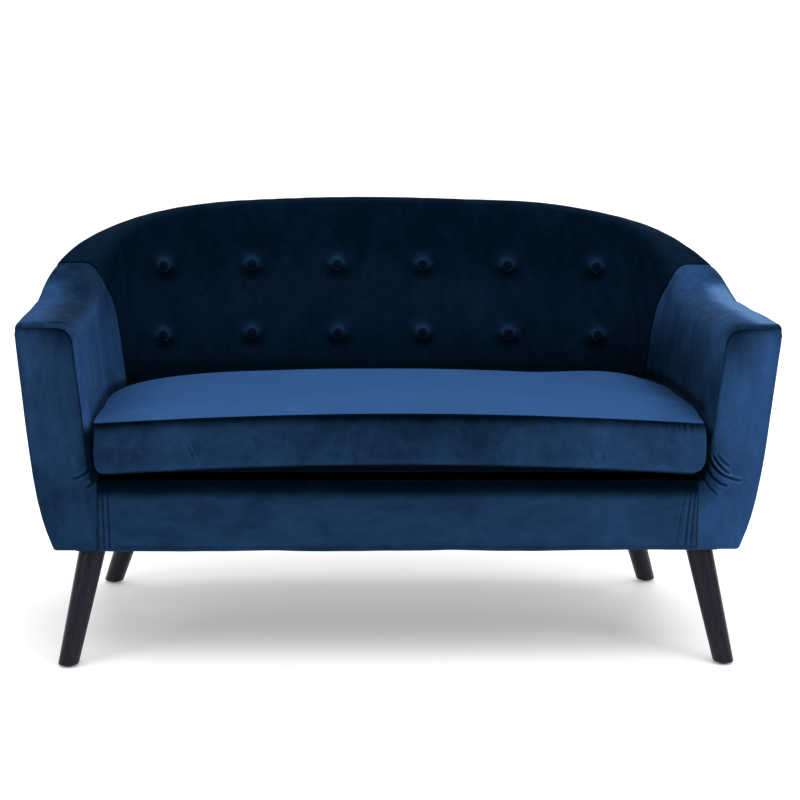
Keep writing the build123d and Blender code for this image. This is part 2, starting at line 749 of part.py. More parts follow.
# Inside arms and back: foam under a padded cover, drawn in at every tuft by twine
arm_cover = along_arm(pad_face) - along_arm(cover_lining)
arm_foam = along_arm(foam_face) - front_slab
back_blank = along_back(pad_face)
tufts = tuft_places(back_blank)
back_cover = tufted(back_blank, 0) - tufted(along_back(cover_lining), COVER)
back_foam = tufted(along_back(foam_face), LINING)
buttons = []
twines = []
twine_holes = []
washers = []
for place, towards in tufts:
    seat = place - towards * (TUFT_DEPTH - BUTTON_ROOM)
    buttons.append(Plane(seat, z_dir=towards) * button_blank())
    hits = back_foam.find_intersection_points(Axis(seat, towards * -1))
    exit_point, normal = max(hits, key=lambda hit: (hit[0] - seat).length)
    washer_seat = exit_point + normal * SEAM_GAP
    inwards = Plane(seat, z_dir=towards * -1)
    length = (washer_seat - seat).length + WASHER
    twine = inwards * Cylinder(TWINE_RADIUS, length, align=STANDING)
    twines.append(twine)
    twine_holes.append(inwards * Cylinder(TWINE_HOLE, length, align=STANDING))
    washers.append(Plane(washer_seat, z_dir=normal) * Cylinder(WASHER_RADIUS, WASHER, align=STANDING) - twine)
add_pair("inside_arm_cover", arm_cover)
add_pair("arm_foam", arm_foam)
nodes["inside_back_cover"] = cut(back_cover, twine_holes)
nodes["back_foam"] = cut(back_foam, twine_holes)
nodes["tuft_buttons"] = Compound(buttons)
nodes["tuft_twines"] = Compound(twines)
nodes["tuft_washers"] = Compound(washers)

# Outside panels, facings, border and the cloth under the base
add_pair("outside_arm_panel", along_arm(panel_section))
nodes["outside_back_panel"] = along_back(panel_section)
add_pair("arm_facing", facing())
nodes["front_border"] = front_border()
dust_sheet = extrude(base_plan(DUST_INSET), PLATE_BOTTOM - BASE_HEIGHT)
nodes["dust_cover"] = cut(dust_sheet, both_sides(bolts))

# Loose seat cushion
nodes["seat_cushion_foam"] = cushion(CUSHION_CLOTH + WADDING)
nodes["seat_cushion_cover"] = cushion(0) - cushion(CUSHION_CLOTH)

os.makedirs("parts", exist_ok=True)
for name, shape in nodes.items():
    export_step(shape, f"parts/{name}.step")
    volume = sum(solid.volume for solid in shape.solids())
    print(name, "solids", len(shape.solids()), "volume", round(volume / 1000), "cm3")
whole = Compound([solid for shape in nodes.values() for solid in shape.solids()]).bounding_box()
print("box", [round(v, 1) for v in whole.min], [round(v, 1) for v in whole.max])
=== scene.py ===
# %% [markdown]
# # A two-seat tub sofa in navy velvet
# The frame of this sofa is already drawn as solids. This lesson dresses it: every soft piece is modelled again as
# cloth over padding, the turned legs and covered buttons get their real edges, and each surface gets a finish.
# The frame is loaded first, because every new piece has to lie where its solid lies.

import json
import math
from collections import namedtuple

import bmesh
import bpy
import numpy as np
from mathutils import Matrix, Vector


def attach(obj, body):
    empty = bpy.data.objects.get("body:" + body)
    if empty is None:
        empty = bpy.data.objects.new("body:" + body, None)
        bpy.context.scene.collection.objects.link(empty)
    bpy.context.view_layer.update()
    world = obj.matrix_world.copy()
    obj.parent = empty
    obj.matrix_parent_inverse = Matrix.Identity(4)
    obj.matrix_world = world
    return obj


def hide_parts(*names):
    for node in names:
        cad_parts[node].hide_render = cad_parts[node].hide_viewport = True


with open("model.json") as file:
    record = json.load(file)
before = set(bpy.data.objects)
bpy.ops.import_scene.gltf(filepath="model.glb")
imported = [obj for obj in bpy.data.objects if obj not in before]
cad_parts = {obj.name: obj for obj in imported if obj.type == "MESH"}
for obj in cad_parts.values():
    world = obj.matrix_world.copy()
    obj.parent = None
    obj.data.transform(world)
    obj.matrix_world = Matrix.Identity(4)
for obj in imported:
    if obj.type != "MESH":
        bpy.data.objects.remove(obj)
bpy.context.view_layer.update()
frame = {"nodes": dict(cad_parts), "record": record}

# %% [markdown]
# ## The camera
# The sofa is seen from the front, a little to the left of its middle and from about waist height, through a long
# lens. A small sideways shift puts it in the middle of the picture without turning the camera.

# %% Camera
PICTURE = 800
FOCAL_PIXELS = 1965.2
SENSOR = 36.0
SIDE_SHIFT = 48.2
CAMERA_PLACE = Vector((-0.2135, -3.633, 1.0425))
YAW, PITCH, ROLL = (math.radians(angle) for angle in (2.252, 9.89, 0.425))

sight = Vector((math.sin(YAW) * math.cos(PITCH), math.cos(YAW) * math.cos(PITCH), -math.sin(PITCH)))
level = Vector((math.cos(YAW), -math.sin(YAW), 0))
upright = level.cross(sight)
right = level * math.cos(ROLL) + upright * math.sin(ROLL)
up = upright * math.cos(ROLL) - level * math.sin(ROLL)
bpy.ops.object.select_all(action="DESELECT")
bpy.ops.object.camera_add(location=CAMERA_PLACE)
camera = bpy.context.object
turn = Matrix((right, up, -sight)).transposed()
camera.matrix_world = Matrix.Translation(CAMERA_PLACE) @ turn.to_4x4()
camera.data.sensor_width = SENSOR
camera.data.lens = FOCAL_PIXELS / PICTURE * SENSOR
camera.data.shift_x = SIDE_SHIFT / PICTURE
bpy.context.scene.camera = camera
print("lens", round(camera.data.lens, 1), "mm")

# %% [markdown]
# ## The tub's form
# Arms and back are one shell that follows a rim. The rim is straight along each arm and bends round the back as a
# superellipse, and its height sweeps up from the arms to the back. Inside and outside are plan curves of the same
# kind that change with height. The numbers are the solids' own, in millimetres, so cloth and solid agree, and only
# the arm tops are rounder here.

# %% Plan curves
MM = 0.001
WIDTH, HEIGHT, ARM_HEIGHT, BASE_HEIGHT = 1310, 765, 600, 200
FRONT, COVER_FRONT, BACK_REAR = -330, -320, 357.5
ARM_SHOULDER, BACK_SHOULDER = 571, 740
SIDE_TAPER, BACK_TAPER, SIDE_HIP, BACK_HIP, HIP_POWER = 0.10, 0.12, 24, 18, 6
OUTER_MIDDLE, OUTER_POWER, BASE_POWER = -45, 3.0, 3.6
PAD_BOTTOM, SEAT_HALF, SEAT_REAR, BACK_RAKE = 324, 519, 167.5, 0.35
ARM_FLARE, FLARE_HEIGHT, FLARE_LIMIT, FLARE_POWER = 22, 229, 1.3, 1.5
INNER_MIDDLE, SEAT_POWER, TOP_POWER, SEAT_TOP = -145, 4.5, 4.0, 443
RIM_HALF, RIM_REAR, SWEEP_START, SWEEP_LENGTH = 645, 350, 30, 272
SEAM_TURN, BACK_CROWN_TURN = 16.7, 52
FRONT_CROWN, SEAM_CROWN, BACK_CROWN, OUTER_CROWN = 38, 48, 24, 14
LIP, PAD_DEPTH, PANEL, REAR_ROOM = 25, 50, 5, 24.5


def tapered(z, widest, shoulder, taper, hip):
    """An outside that leans in below its shoulder, and turns in more near the base."""
    drop = np.maximum(shoulder - z, 0)
    return widest - taper * drop - hip * (drop / (shoulder - BASE_HEIGHT)) ** HIP_POWER


def outer_half(z):
    return tapered(z, WIDTH / 2, ARM_SHOULDER, SIDE_TAPER, SIDE_HIP)


def outer_rear(z):
    return tapered(z, BACK_REAR, BACK_SHOULDER, BACK_TAPER, BACK_HIP)


def outer_power(z):
    share = np.maximum(ARM_SHOULDER - z, 0) / (ARM_SHOULDER - BASE_HEIGHT)
    return OUTER_POWER + (BASE_POWER - OUTER_POWER) * share


def inner_half(z):
    share = np.minimum(np.maximum(z - PAD_BOTTOM, 0) / FLARE_HEIGHT, FLARE_LIMIT)
    return SEAT_HALF + ARM_FLARE * share**FLARE_POWER


def inner_rear(z):
    return SEAT_REAR + BACK_RAKE * (z - PAD_BOTTOM)


def inner_power(z):
    share = np.maximum(z - SEAT_TOP, 0) / (HEIGHT - SEAT_TOP)
    return SEAT_POWER + (TOP_POWER - SEAT_POWER) * share


print("base is", round(2 * outer_half(BASE_HEIGHT)), "mm wide, shoulders", round(2 * outer_half(ARM_SHOULDER)))

# %% Stations along the rim
Stations = namedtuple("Stations", "x y out_x out_y height crown")
RIM_POINTS, SWEEP_POWER = 4001, 1.5
REACH_INWARDS, REACH_OUTWARDS, HALVINGS = -320.0, 120.0, 44


def rim_curve(turn):
    """The bent part of the rim: x, and how far behind its middle."""
    x = RIM_HALF * np.cos(turn) ** (2 / OUTER_POWER)
    return x, (RIM_REAR - OUTER_MIDDLE) * np.sin(turn) ** (2 / OUTER_POWER)


turns = np.linspace(0, math.pi / 2, RIM_POINTS)
rim_lengths = np.concatenate([[0], np.cumsum(np.hypot(*(np.diff(line) for line in rim_curve(turns))))])
HALF_RIM = rim_lengths[-1]
SEAM = np.interp(math.radians(SEAM_TURN), turns, rim_lengths)
ARM_START = COVER_FRONT - OUTER_MIDDLE


def sweep(travel):
    return 1 - np.exp(-((np.maximum(travel - SWEEP_START, 0) / SWEEP_LENGTH) ** SWEEP_POWER))


def stations(travel):
    """Stations at lengths along the rim, counted from the end of the straight right arm."""
    travel = np.asarray(travel, float)
    side = np.where(travel > HALF_RIM, -1, 1)
    along = np.where(travel > HALF_RIM, 2 * HALF_RIM - travel, travel)
    bent = np.interp(np.maximum(along, 0), rim_lengths, turns)
    x, rise = rim_curve(bent)
    slope_x = x ** (OUTER_POWER - 1) / RIM_HALF**OUTER_POWER
    slope_y = rise ** (OUTER_POWER - 1) / (RIM_REAR - OUTER_MIDDLE) ** OUTER_POWER
    length = np.hypot(slope_x, slope_y)
    height = ARM_HEIGHT + (HEIGHT - ARM_HEIGHT) * sweep(along) / sweep(HALF_RIM)
    crown = np.interp(np.degrees(bent), (0, SEAM_TURN, BACK_CROWN_TURN), (FRONT_CROWN, SEAM_CROWN, BACK_CROWN))
    y = OUTER_MIDDLE + rise + np.minimum(along, 0)
    return Stations(side * x, y, side * slope_x / length, slope_y / length, height, crown)


def reach(spots, half, rear, middle, power):
    """Distance along each station's outward line to a plan curve, found by halving."""
    low, high = np.full(len(spots.x), REACH_INWARDS), np.full(len(spots.x), REACH_OUTWARDS)
    for _ in range(HALVINGS):
        trial = (low + high) / 2
        x = np.abs(spots.x + trial * spots.out_x) / half
        y = np.maximum(spots.y + trial * spots.out_y - middle, 0) / (rear - middle)
        within = x**power + y**power < 1
        low, high = np.where(within, trial, low), np.where(within, high, trial)
    return low


def outer(spots, z):
    return reach(spots, outer_half(z), outer_rear(z), OUTER_MIDDLE, outer_power(z))


def inner(spots, z):
    return reach(spots, inner_half(z), inner_rear(z), INNER_MIDDLE, inner_power(z))


print("rim is", round(2 * (HALF_RIM - ARM_START)), "mm long, seam after", round(SEAM), "mm")

# %% [markdown]
# ## Cloth from rings
# Soft pieces start as rings of points: one closed ring for each station along the rim, joined into a skin and
# closed at both ends. Flat pieces start as two grids with walls between their edges. A piece is then pushed along
# its own normals to give it tufts, folds and sewn edges.

# %% Skins
def new_object(name, points, faces):
    mesh = bpy.data.meshes.new(name)
    mesh.from_pydata([tuple(p) for p in np.asarray(points) * MM], [], faces)
    work = bmesh.new()
    work.from_mesh(mesh)
    bmesh.ops.triangulate(work, faces=[face for face in work.faces if len(face.verts) > 4])
    bmesh.ops.recalc_face_normals(work, faces=work.faces)
    work.to_mesh(mesh)
    work.free()
    mesh.polygons.foreach_set("use_smooth", [True] * len(mesh.polygons))
    piece = bpy.data.objects.new(name, mesh)
    bpy.context.scene.collection.objects.link(piece)
    return piece


def quads(*corners):
    """Faces from four arrays of point numbers, one for each corner."""
    return [tuple(int(v) for v in face) for face in np.stack(corners, -1).reshape(-1, 4)]


def skin_of_rings(name, rings):
    """Closed skin through rings of points, with a face at each end."""
    numbers = np.arange(rings.shape[0] * rings.shape[1]).reshape(rings.shape[:2])
    after = np.roll(numbers, -1, axis=1)
    faces = quads(numbers[:-1], after[:-1], after[1:], numbers[1:])
    faces += [tuple(int(v) for v in numbers[end]) for end in (0, -1)]
    return new_object(name, rings.reshape(-1, 3), faces)


def border_of(grid):
    """The edge of a grid of points, once round."""
    return np.concatenate([grid[0, :-1], grid[:-1, -1], grid[-1, :0:-1], grid[:0:-1, 0]])


def skin_of_grids(name, front, walls, back):
    """Closed skin of two grids of the same size, with rings of points between their edges."""
    rows, cols = front.shape[:2]
    numbers = np.arange(rows * cols).reshape(rows, cols)
    behind = numbers + rows * cols
    points = [front.reshape(-1, 3), back.reshape(-1, 3)]
    faces = []
    for sheet in (numbers, behind):
        faces += quads(sheet[:-1, :-1], sheet[:-1, 1:], sheet[1:, 1:], sheet[1:, :-1])
    rings = [border_of(numbers)]
    first = 2 * rows * cols
    for ring in walls:
        points.append(ring)
        rings.append(np.arange(first, first + len(ring)))
        first += len(ring)
    rings.append(border_of(behind))
    for a, b in zip(rings, rings[1:]):
        faces += quads(a, np.roll(a, -1), np.roll(b, -1), b)
    return new_object(name, np.concatenate(points), faces)


print("skins can be made of rings and of grids")

# %% Points, waves and painted light
WAVES = 7


def places_of(piece):
    """The piece's points and normals, in millimetres."""
    count = len(piece.data.vertices)
    points, normals = np.zeros(count * 3), np.zeros(count * 3)
    piece.data.vertices.foreach_get("co", points)
    piece.data.vertices.foreach_get("normal", normals)
    return points.reshape(-1, 3) / MM, normals.reshape(-1, 3)


def move_points(piece, points):
    piece.data.vertices.foreach_set("co", (points * MM).ravel())
    piece.data.update()


def push_out(piece, points, normals, push, flip=False):
    """Moves points along their normals, and turns the piece over to the other arm where flip says so."""
    points = points + normals * push[:, None]
    if flip:
        points[:, 0] *= -1
        piece.data.flip_normals()
    move_points(piece, points)


def unevenness(points, length, seed):
    """Soft random waves of about the given length, from -1 to 1."""
    draw = np.random.default_rng(seed)
    total = np.zeros(len(points))
    for _ in range(WAVES):
        direction = draw.normal(size=3)
        direction /= np.linalg.norm(direction)
        turn = 2 * math.pi / (length * draw.uniform(0.7, 1.5))
        total += np.sin(points @ direction * turn + draw.uniform(0, 7))
    return total / 4


def set_painted_light(piece, painted_light):
    """Painted light and shade, with each piece's tone, at each point: 0 paints the velvet darkest, 1 lightest."""
    layer = piece.data.attributes.get("painted_light") or piece.data.attributes.new("painted_light", "FLOAT", "POINT")
    layer.data.foreach_set("value", np.clip(painted_light, 0, 1))


def rise_between(value, low, high):
    """Goes smoothly from 0 at low to 1 at high."""
    share = np.clip((value - low) / (high - low), 0, 1)
    return share * share * (3 - 2 * share)


def bell(value, width):
    """1 in the middle, and next to nothing at twice its width."""
    return np.exp(-((value / width) ** 2))


# Brushing here means painting light and shade.
print("pieces can be pushed, waved and brushed")

# %% Section of the padded shell
def rounded(before, corner, after, radius, count):
    """Points of the arc that rounds one corner of every station's outline."""
    back = (before - corner) / np.linalg.norm(before - corner, axis=1, keepdims=True)
    ahead = (after - corner) / np.linalg.norm(after - corner, axis=1, keepdims=True)
    half = np.arccos(np.clip((back * ahead).sum(1), -1, 1)) / 2
    middle = (back + ahead) / np.linalg.norm(back + ahead, axis=1, keepdims=True)
    centre = corner + middle * (radius / np.sin(half))[:, None]
    tangent = (radius / np.tan(half))[:, None]
    first, last = corner + back * tangent - centre, corner + ahead * tangent - centre
    spread = (math.pi - 2 * half)[:, None, None]
    share = np.linspace(0, 1, count)[None, :, None]
    bow = np.sin((1 - share) * spread) * first[:, None] + np.sin(share * spread) * last[:, None]
    return centre[:, None] + bow / np.sin(spread)


def between(first, last, count, ends):
    """Points on a straight line, with or without its first and last."""
    share = np.linspace(0, 1, count)[None, :, None]
    points = first[:, None] * (1 - share) + last[:, None] * share
    return points[:, 0 if ends[0] else 1 : count if ends[1] else count - 1]


UP_STEPS, CROWN_STEPS, EDGE_STEPS, LIP_STEPS = 84, 14, 9, 4


def pad_rings(spots, inset):
    """Rings round the padded shell: up its inside, over the top, and back down behind the foam."""
    top, lip_z, bottom = spots.height, spots.height - LIP, np.full(len(spots.x), PAD_BOTTOM)
    foot = np.stack([inner(spots, bottom) + inset, bottom], 1)
    crest = np.stack([inner(spots, top) + inset, top - inset], 1)
    far = np.stack([outer(spots, top) - inset, top - inset], 1)
    lip = np.stack([outer(spots, lip_z) - inset, lip_z], 1)
    high = np.stack([outer(spots, lip_z) - REAR_ROOM, lip_z], 1)
    low = np.stack([inner(spots, bottom) + PAD_DEPTH, bottom], 1)
    crown = rounded(foot, crest, far, spots.crown - inset, CROWN_STEPS)
    edge = rounded(crest, far, lip, OUTER_CROWN - inset, EDGE_STEPS)
    outline = [
        between(foot, crown[:, 0], UP_STEPS, (True, False)),
        crown,
        between(crown[:, -1], edge[:, 0], 4, (False, False)),
        edge,
        between(edge[:, -1], lip, LIP_STEPS, (False, True)),
        between(lip, high, 4, (False, True)),
        between(high, low, 14, (False, True)),
        between(low, foot, 6, (False, False)),
    ]
    return in_space(spots, np.concatenate(outline, 1))


def in_space(spots, outline):
    """Outlines of (outwards, up) points set on their stations."""
    x = spots.x[:, None] + outline[..., 0] * spots.out_x[:, None]
    y = spots.y[:, None] + outline[..., 0] * spots.out_y[:, None]
    return np.stack([x, y, outline[..., 1]], -1)


SEEN_STEPS = UP_STEPS - 1 + CROWN_STEPS + 2 + EDGE_STEPS + LIP_STEPS - 1
CROWN_END = UP_STEPS - 1 + CROWN_STEPS
print("shell section has", SEEN_STEPS, "points on its outside")

# %% Bowed arm seam
SEAM_BOW = ((324, 22), (421, 26), (467, 32), (515, 37), (555, 32), (580, 20))
SEAM_BOW += ((605, 3), (622, -10), (637, -9), (648, 0), (653, 6))
BOW_REACH, BOW_FADE = 130, 6


def bowed_rings(run):
    """Rings whose points slide along the rim near the arm seams, so that these bow back on the inside."""
    grid = np.arange(run[0] - 15, run[-1] + 45, 2.5)
    table = pad_rings(stations(grid), 0)
    bow = np.interp(pad_rings(stations([SEAM]), 0)[0, :, 2], *zip(*SEAM_BOW))
    bow[CROWN_END:] = 0
    bow[CROWN_END : CROWN_END + BOW_FADE] = np.linspace(SEAM_BOW[-1][1], 0, BOW_FADE)
    near, far = (1 - rise_between(np.abs(run - place), 0, BOW_REACH) for place in (SEAM, 2 * HALF_RIM - SEAM))
    slid = run[:, None] + (near - far)[:, None] * bow
    rings = np.empty((len(run),) + table.shape[1:])
    for j in range(table.shape[1]):
        for axis in range(3):
            rings[:, j, axis] = np.interp(slid[:, j], grid, table[:, j, axis])
    return rings


print("seams bow up to", max(bow for _, bow in SEAM_BOW), "mm")

# %% [markdown]
# ## The inside back
# One wide pad with two rows of sewn tufts. Twine pulls each button deep into the foam, so the cloth runs down to
# it like a funnel with a few radial pleats. The pad could be inflated as cloth alone, but the funnels have to meet
# the buttons exactly, so they are pressed in first and the cloth settles between them afterwards.

# %% Inside back pad
TUFT_PITCH, TUFT_SHIFT, TUFT_HEIGHTS, TUFT_COUNT = 170, -5, (505, 636.5), 6
END_STEPS = np.array([0, 1.2, 2.6, 4.4, 6.8, 10])
SEAM_SLIT, SEAM_TUCK, SEAM_ROLL = 0.4, 5.0, 9.0


def run_between(first, last, pitch):
    """Lengths along the rim, close together at both ends where the seams are."""
    middle = np.linspace(first + END_STEPS[-1], last - END_STEPS[-1], int((last - first) / pitch))[1:-1]
    return np.concatenate([first + END_STEPS, middle, last - END_STEPS[::-1]])


def roll(distance, depth, width):
    """How far a sewn edge is drawn in at a distance from its seam."""
    share = np.clip(1 - distance / width, 0, 1)
    return depth * (1 - np.sqrt(1 - share**2))


back_run = run_between(SEAM + SEAM_SLIT, 2 * HALF_RIM - SEAM - SEAM_SLIT, 5.0)
back_rings = bowed_rings(back_run)
inside_back = skin_of_rings("inside_back", back_rings)
ring_size = back_rings.shape[1]
back_seen = np.tile(np.arange(ring_size) < SEEN_STEPS, len(back_run))
on_face = np.tile(np.arange(ring_size) < UP_STEPS, len(back_run))
travel = np.repeat(back_run, ring_size)
end_gap = np.minimum(travel - back_run[0], back_run[-1] - travel)
print("inside back has", len(inside_back.data.polygons), "faces")

# %% Tufts
TUFT_DEPTH, TUFT_SPREAD, PLEATS = 14, 48, 7


def tuft_places(points, normals):
    """Where each button sits on the smooth pad, and which way it faces."""
    places = []
    for z in TUFT_HEIGHTS:
        for i in range(TUFT_COUNT):
            x = (i - (TUFT_COUNT - 1) / 2) * TUFT_PITCH + TUFT_SHIFT
            gap = np.hypot(points[:, 0] - x, points[:, 2] - z) + np.where(on_face, 0, 1e6)
            near = np.argsort(gap)[:4]
            weight = 1 / (gap[near] + 0.1)
            spot = (points[near] * weight[:, None]).sum(0) / weight.sum()
            facing = normals[near].mean(0)
            places.append((spot, facing / np.linalg.norm(facing)))
    return places


def press_tufts(points):
    """Funnel depth at each point, distance to the nearest tuft, and painted light and shade round the buttons."""
    depth, nearest, light_and_shade = np.zeros(len(points)), np.full(len(points), 1e6), np.zeros(len(points))
    for number, (spot, facing) in enumerate(tufts):
        offset = points - spot
        distance = np.linalg.norm(offset, axis=1)
        side = np.cross((0, 0, 1), facing)
        side /= np.linalg.norm(side)
        rise = np.cross(facing, side)
        across, above = offset @ side, offset @ rise
        funnel = np.clip(1 - (distance / TUFT_SPREAD) ** 1.1, 0, 1) ** 2
        pleat = np.cos(PLEATS * np.arctan2(above, across) + number * 1.7) * bell(distance - 18, 10)
        depth += TUFT_DEPTH * funnel + 0.8 * pleat
        nearest = np.minimum(nearest, distance)
        # Painted highlight on each button's upper rim and above it, and painted shadow below it.
        light_and_shade += 0.28 * bell(distance - 13, 6) * rise_between(above, -8, 8)
        light_and_shade += 0.17 * bell(across, 22) * bell(above - 18, 13)
        light_and_shade -= 0.4 * bell(across, 17) * bell(above + 15, 11)
    return depth, nearest, light_and_shade


points, normals = places_of(inside_back)
tufts = tuft_places(points, normals)
depth, tuft_gap, light_and_shade = press_tufts(points)
push = -depth - roll(end_gap, SEAM_TUCK, SEAM_ROLL)
push += 1.0 * unevenness(points, 170, 3) + 0.3 * unevenness(points, 40, 4)
push_out(inside_back, points, normals, np.where(back_seen, push, 0))
# Painted shade over the inside back, a little lighter at mid height, and the outside's tone behind the rim.
behind = np.tile(rise_between(np.arange(ring_size), CROWN_END + 2, CROWN_END + 9), len(back_run))
# Painted shadow near the seat.
seat_shade = 0.1 * np.exp(-np.maximum(points[:, 2] - 440, 0) / 10)
# Painted highlight along the rim's top, where the pad faces up.
rim = 0.09 * rise_between(normals[:, 2], 0.6, 0.95)
set_painted_light(inside_back, 0.16 + 0.07 * bell(points[:, 2] - 560, 80) + light_and_shade + rim + 0.3 * behind - seat_shade)
print("tufts pressed in up to", round(float(depth.max()), 1), "mm")

# %% [markdown]
# ## The arms
# An arm pad is the same shell, level along its top. Its cover wraps round the front edge for a finger's width and
# is sewn to the facing there, so rings are added at the front that shrink as they go round that edge. The two arms
# are painted with different light and shade: the left arm's inside and the right arm's top are painted lighter, and
# both tops carry a painted highlight on their outer part.

# %% Arm pads
WRAP, WRAP_STEPS, WRAP_RETURN = 10.5, 8, 5.0
ArmTone = namedtuple("ArmTone", "top worn shade_height")
OUTSIDE_TONE = 0.54
ARM_TONES = {0: ArmTone(0.67, 0.34, 444), 1: ArmTone(0.4, 0.36, 424)}


def arm_pad(name, flip):
    travels = run_between(ARM_START, SEAM - SEAM_SLIT, 5.0)
    bend = np.linspace(math.pi / 2, 0, WRAP_STEPS)[:-1]
    run = np.concatenate([np.full(WRAP_STEPS, ARM_START), travels])
    inset = np.concatenate([[WRAP + 1.5], WRAP * (1 - np.cos(bend)), np.zeros(len(travels))])
    ahead = np.concatenate([[WRAP - WRAP_RETURN], WRAP * np.sin(bend), np.zeros(len(travels))])
    whole = pad_rings(stations(run), 0)
    taper = 1 - 0.9 * rise_between(np.arange(whole.shape[1]), CROWN_END + 1, CROWN_END + 10)
    rings = whole + taper[:, None] * (pad_rings(stations(run), inset) - whole)
    rings[WRAP_STEPS:] = bowed_rings(travels)
    forward = ahead[:, None] * taper
    rings[:, :SEEN_STEPS, 1] -= forward[:, :SEEN_STEPS]
    rings[:, SEEN_STEPS:, 1] -= 0.4 * forward[:, SEEN_STEPS:]
    piece = skin_of_rings(name, rings)
    points, normals = places_of(piece)
    seen = np.tile(np.arange(rings.shape[1]) < SEEN_STEPS, len(run))
    travel = np.repeat(run, rings.shape[1])
    push = -roll(run[-1] - travel, SEAM_TUCK, SEAM_ROLL)
    push += 1.0 * unevenness(points + flip * 400, 140, 5 + flip) + 0.25 * unevenness(points, 36, 7 + flip)
    x, y, z = points.T
    tone = ARM_TONES[flip]
    # Painted light and shade inside each arm: the left lighter, the right darker low down and to the rear.
    high = rise_between(z, 480, 585)
    if flip:
        inside = 0.72 + 0.08 * (1 - high) - 0.16 * rise_between(y, -10, 90)
    else:
        inside = 0.44 + 0.24 * high - 0.08 * rise_between(y, -250, 40) * (1 - high)
    # Painted shadow of the cushion along the seat line.
    inside -= 0.35 * bell(z - tone.shade_height, 8) * rise_between(y, -322, -280)
    crown = rise_between(normals[:, 2], 0.4, 0.97)
    front = (np.repeat(ahead, rings.shape[1]) / WRAP) ** 1.5
    behind = np.tile(rise_between(np.arange(rings.shape[1]), CROWN_END + 2, CROWN_END + 8), len(run))
    # Painted highlight on the outer part of each arm's top, and the right arm's top painted lighter than the left's.
    worn = rise_between(x, 582, 622) * (1 - rise_between(z, 611, 636))
    top = (tone.top + tone.worn * worn) * (1 - behind) + OUTSIDE_TONE * behind
    # Painted shade on the front roll where the cover wraps, and painted shadow on the arm below the cushion's top.
    light_and_shade = inside * (1 - crown) + top * crown - front * (0.1 + 0.16 * rise_between(z, 555, 588))
    set_painted_light(piece, light_and_shade * (1 - 0.85 * rise_between(-z, -428, -402)))
    push_out(piece, points, normals, np.where(seen, push, 0), flip)
    return piece


arm_pads = {"right": arm_pad("right_arm_pad", 0), "left": arm_pad("left_arm_pad", 1)}
print("arm pads have", len(arm_pads["right"].data.polygons), "faces each")

# %% [markdown]
# ## The arm facings
# A facing is a flat padded panel on the front of the arm. Its inner and top edges are sewn to the arm's cover, and
# its outer and lower edges turn round the corner. Where it passes the seat corner the cloth is pulled tight, and a
# few curved creases run out from there.

# %% Facing outline
FACING_INSET, FACING_TOP, FACING_REAR = 11.5, 590.5, -321
COVER_FOOT, BORDER_SEAM = BASE_HEIGHT + 0.6, 0.1
OUTER_CORNERS = (574.9, 540, 500, 440, 380, 330, 290, 260, 235, 215)


def facing_outline():
    """Outline of the right facing as (x, z) points. A corner is (x, z, radius)."""
    crest = inner_half(ARM_HEIGHT) + FACING_INSET
    corners = [(SEAT_HALF + BORDER_SEAM, COVER_FOOT, 0.01), (SEAT_HALF + BORDER_SEAM, 318, 10)]
    corners += [(SEAT_HALF + FACING_INSET + 1, 346, 18), (crest, FACING_TOP, 32)]
    corners += [(outer_half(FACING_TOP) - 1, FACING_TOP + 0.5, 14)]
    corners += [(outer_half(z), z, 1.2) for z in OUTER_CORNERS]
    corners += [(outer_half(BASE_HEIGHT) + 1.5, COVER_FOOT, 8)]
    points = np.array([(x, z) for x, z, _ in corners], float)
    outline = []
    for i, (_, _, radius) in enumerate(corners):
        arms = (points[i - 1][None], points[i][None], points[(i + 1) % len(points)][None])
        outline.append(rounded(*arms, np.array([radius]), 9)[0])
    return np.concatenate(outline)


def width_at(outline, z):
    """Lowest and highest x of a closed outline at a height."""
    ends = np.roll(outline, -1, axis=0)
    crosses = (outline[:, 1] - z) * (ends[:, 1] - z) <= 0
    a, b = outline[crosses], ends[crosses]
    rise = np.where(np.abs(b[:, 1] - a[:, 1]) < 1e-9, 1e-9, b[:, 1] - a[:, 1])
    x = a[:, 0] + (b[:, 0] - a[:, 0]) * np.clip((z - a[:, 1]) / rise, 0, 1)
    return x.min(), x.max()


def gap_to(line, spots, closed=True):
    """Distance from points to a line of points."""
    gap = np.full(len(spots), 1e9)
    pairs = zip(line, np.roll(line, -1, axis=0)) if closed else zip(line[:-1], line[1:])
    for a, b in pairs:
        step = b - a
        share = np.clip(((spots - a) @ step) / max(step @ step, 1e-9), 0, 1)
        gap = np.minimum(gap, np.linalg.norm(spots - a - share[:, None] * step, axis=1))
    return gap


print("facing outline has", len(facing_outline()), "points")

# %% Facing creases
SEAT_CREASES = {
    0: (
        ((536, 366), (547, 333), (590, 325), 1.0),
        ((543, 369), (554, 348), (570, 338), 0.8),
        ((534, 344), (547, 321), (568, 316), 0.8),
        ((550, 372), (558, 357), (571, 351), 0.55),
        ((528, 330), (536, 312), (552, 300), 0.5),
    ),
    1: (((530, 352), (534, 335), (562, 328), 0.6), ((523, 326), (529, 318), (538, 312), 0.5)),
}
UNDER_CREST = inner_half(ARM_HEIGHT) + 26
FACING_SHADES = {
    0: ((0.36, UNDER_CREST, 28, 576, 48), (0.53, 529, 25, 338, 42)),
    1: ((0.2, UNDER_CREST, 28, 576, 26), (0.2, 527, 17, 345, 28)),
}


def crease(spots, start, bend, end):
    """A crease along a curve: a narrow valley with a soft ridge on both sides, fading to its ends."""
    share = np.linspace(0, 1, 14)[:, None]
    start, bend, end = (np.array(place, float) for place in (start, bend, end))
    line = start * (1 - share) ** 2 + 2 * bend * share * (1 - share) + end * share**2
    gap = gap_to(line, spots, False)
    reach_out = np.linalg.norm(spots - line[7], axis=1) / np.linalg.norm(line[0] - line[7])
    return (0.9 * bell(gap - 4.2, 2.4) - 1.5 * bell(gap, 1.9)) * np.clip(1.5 - reach_out, 0, 1)


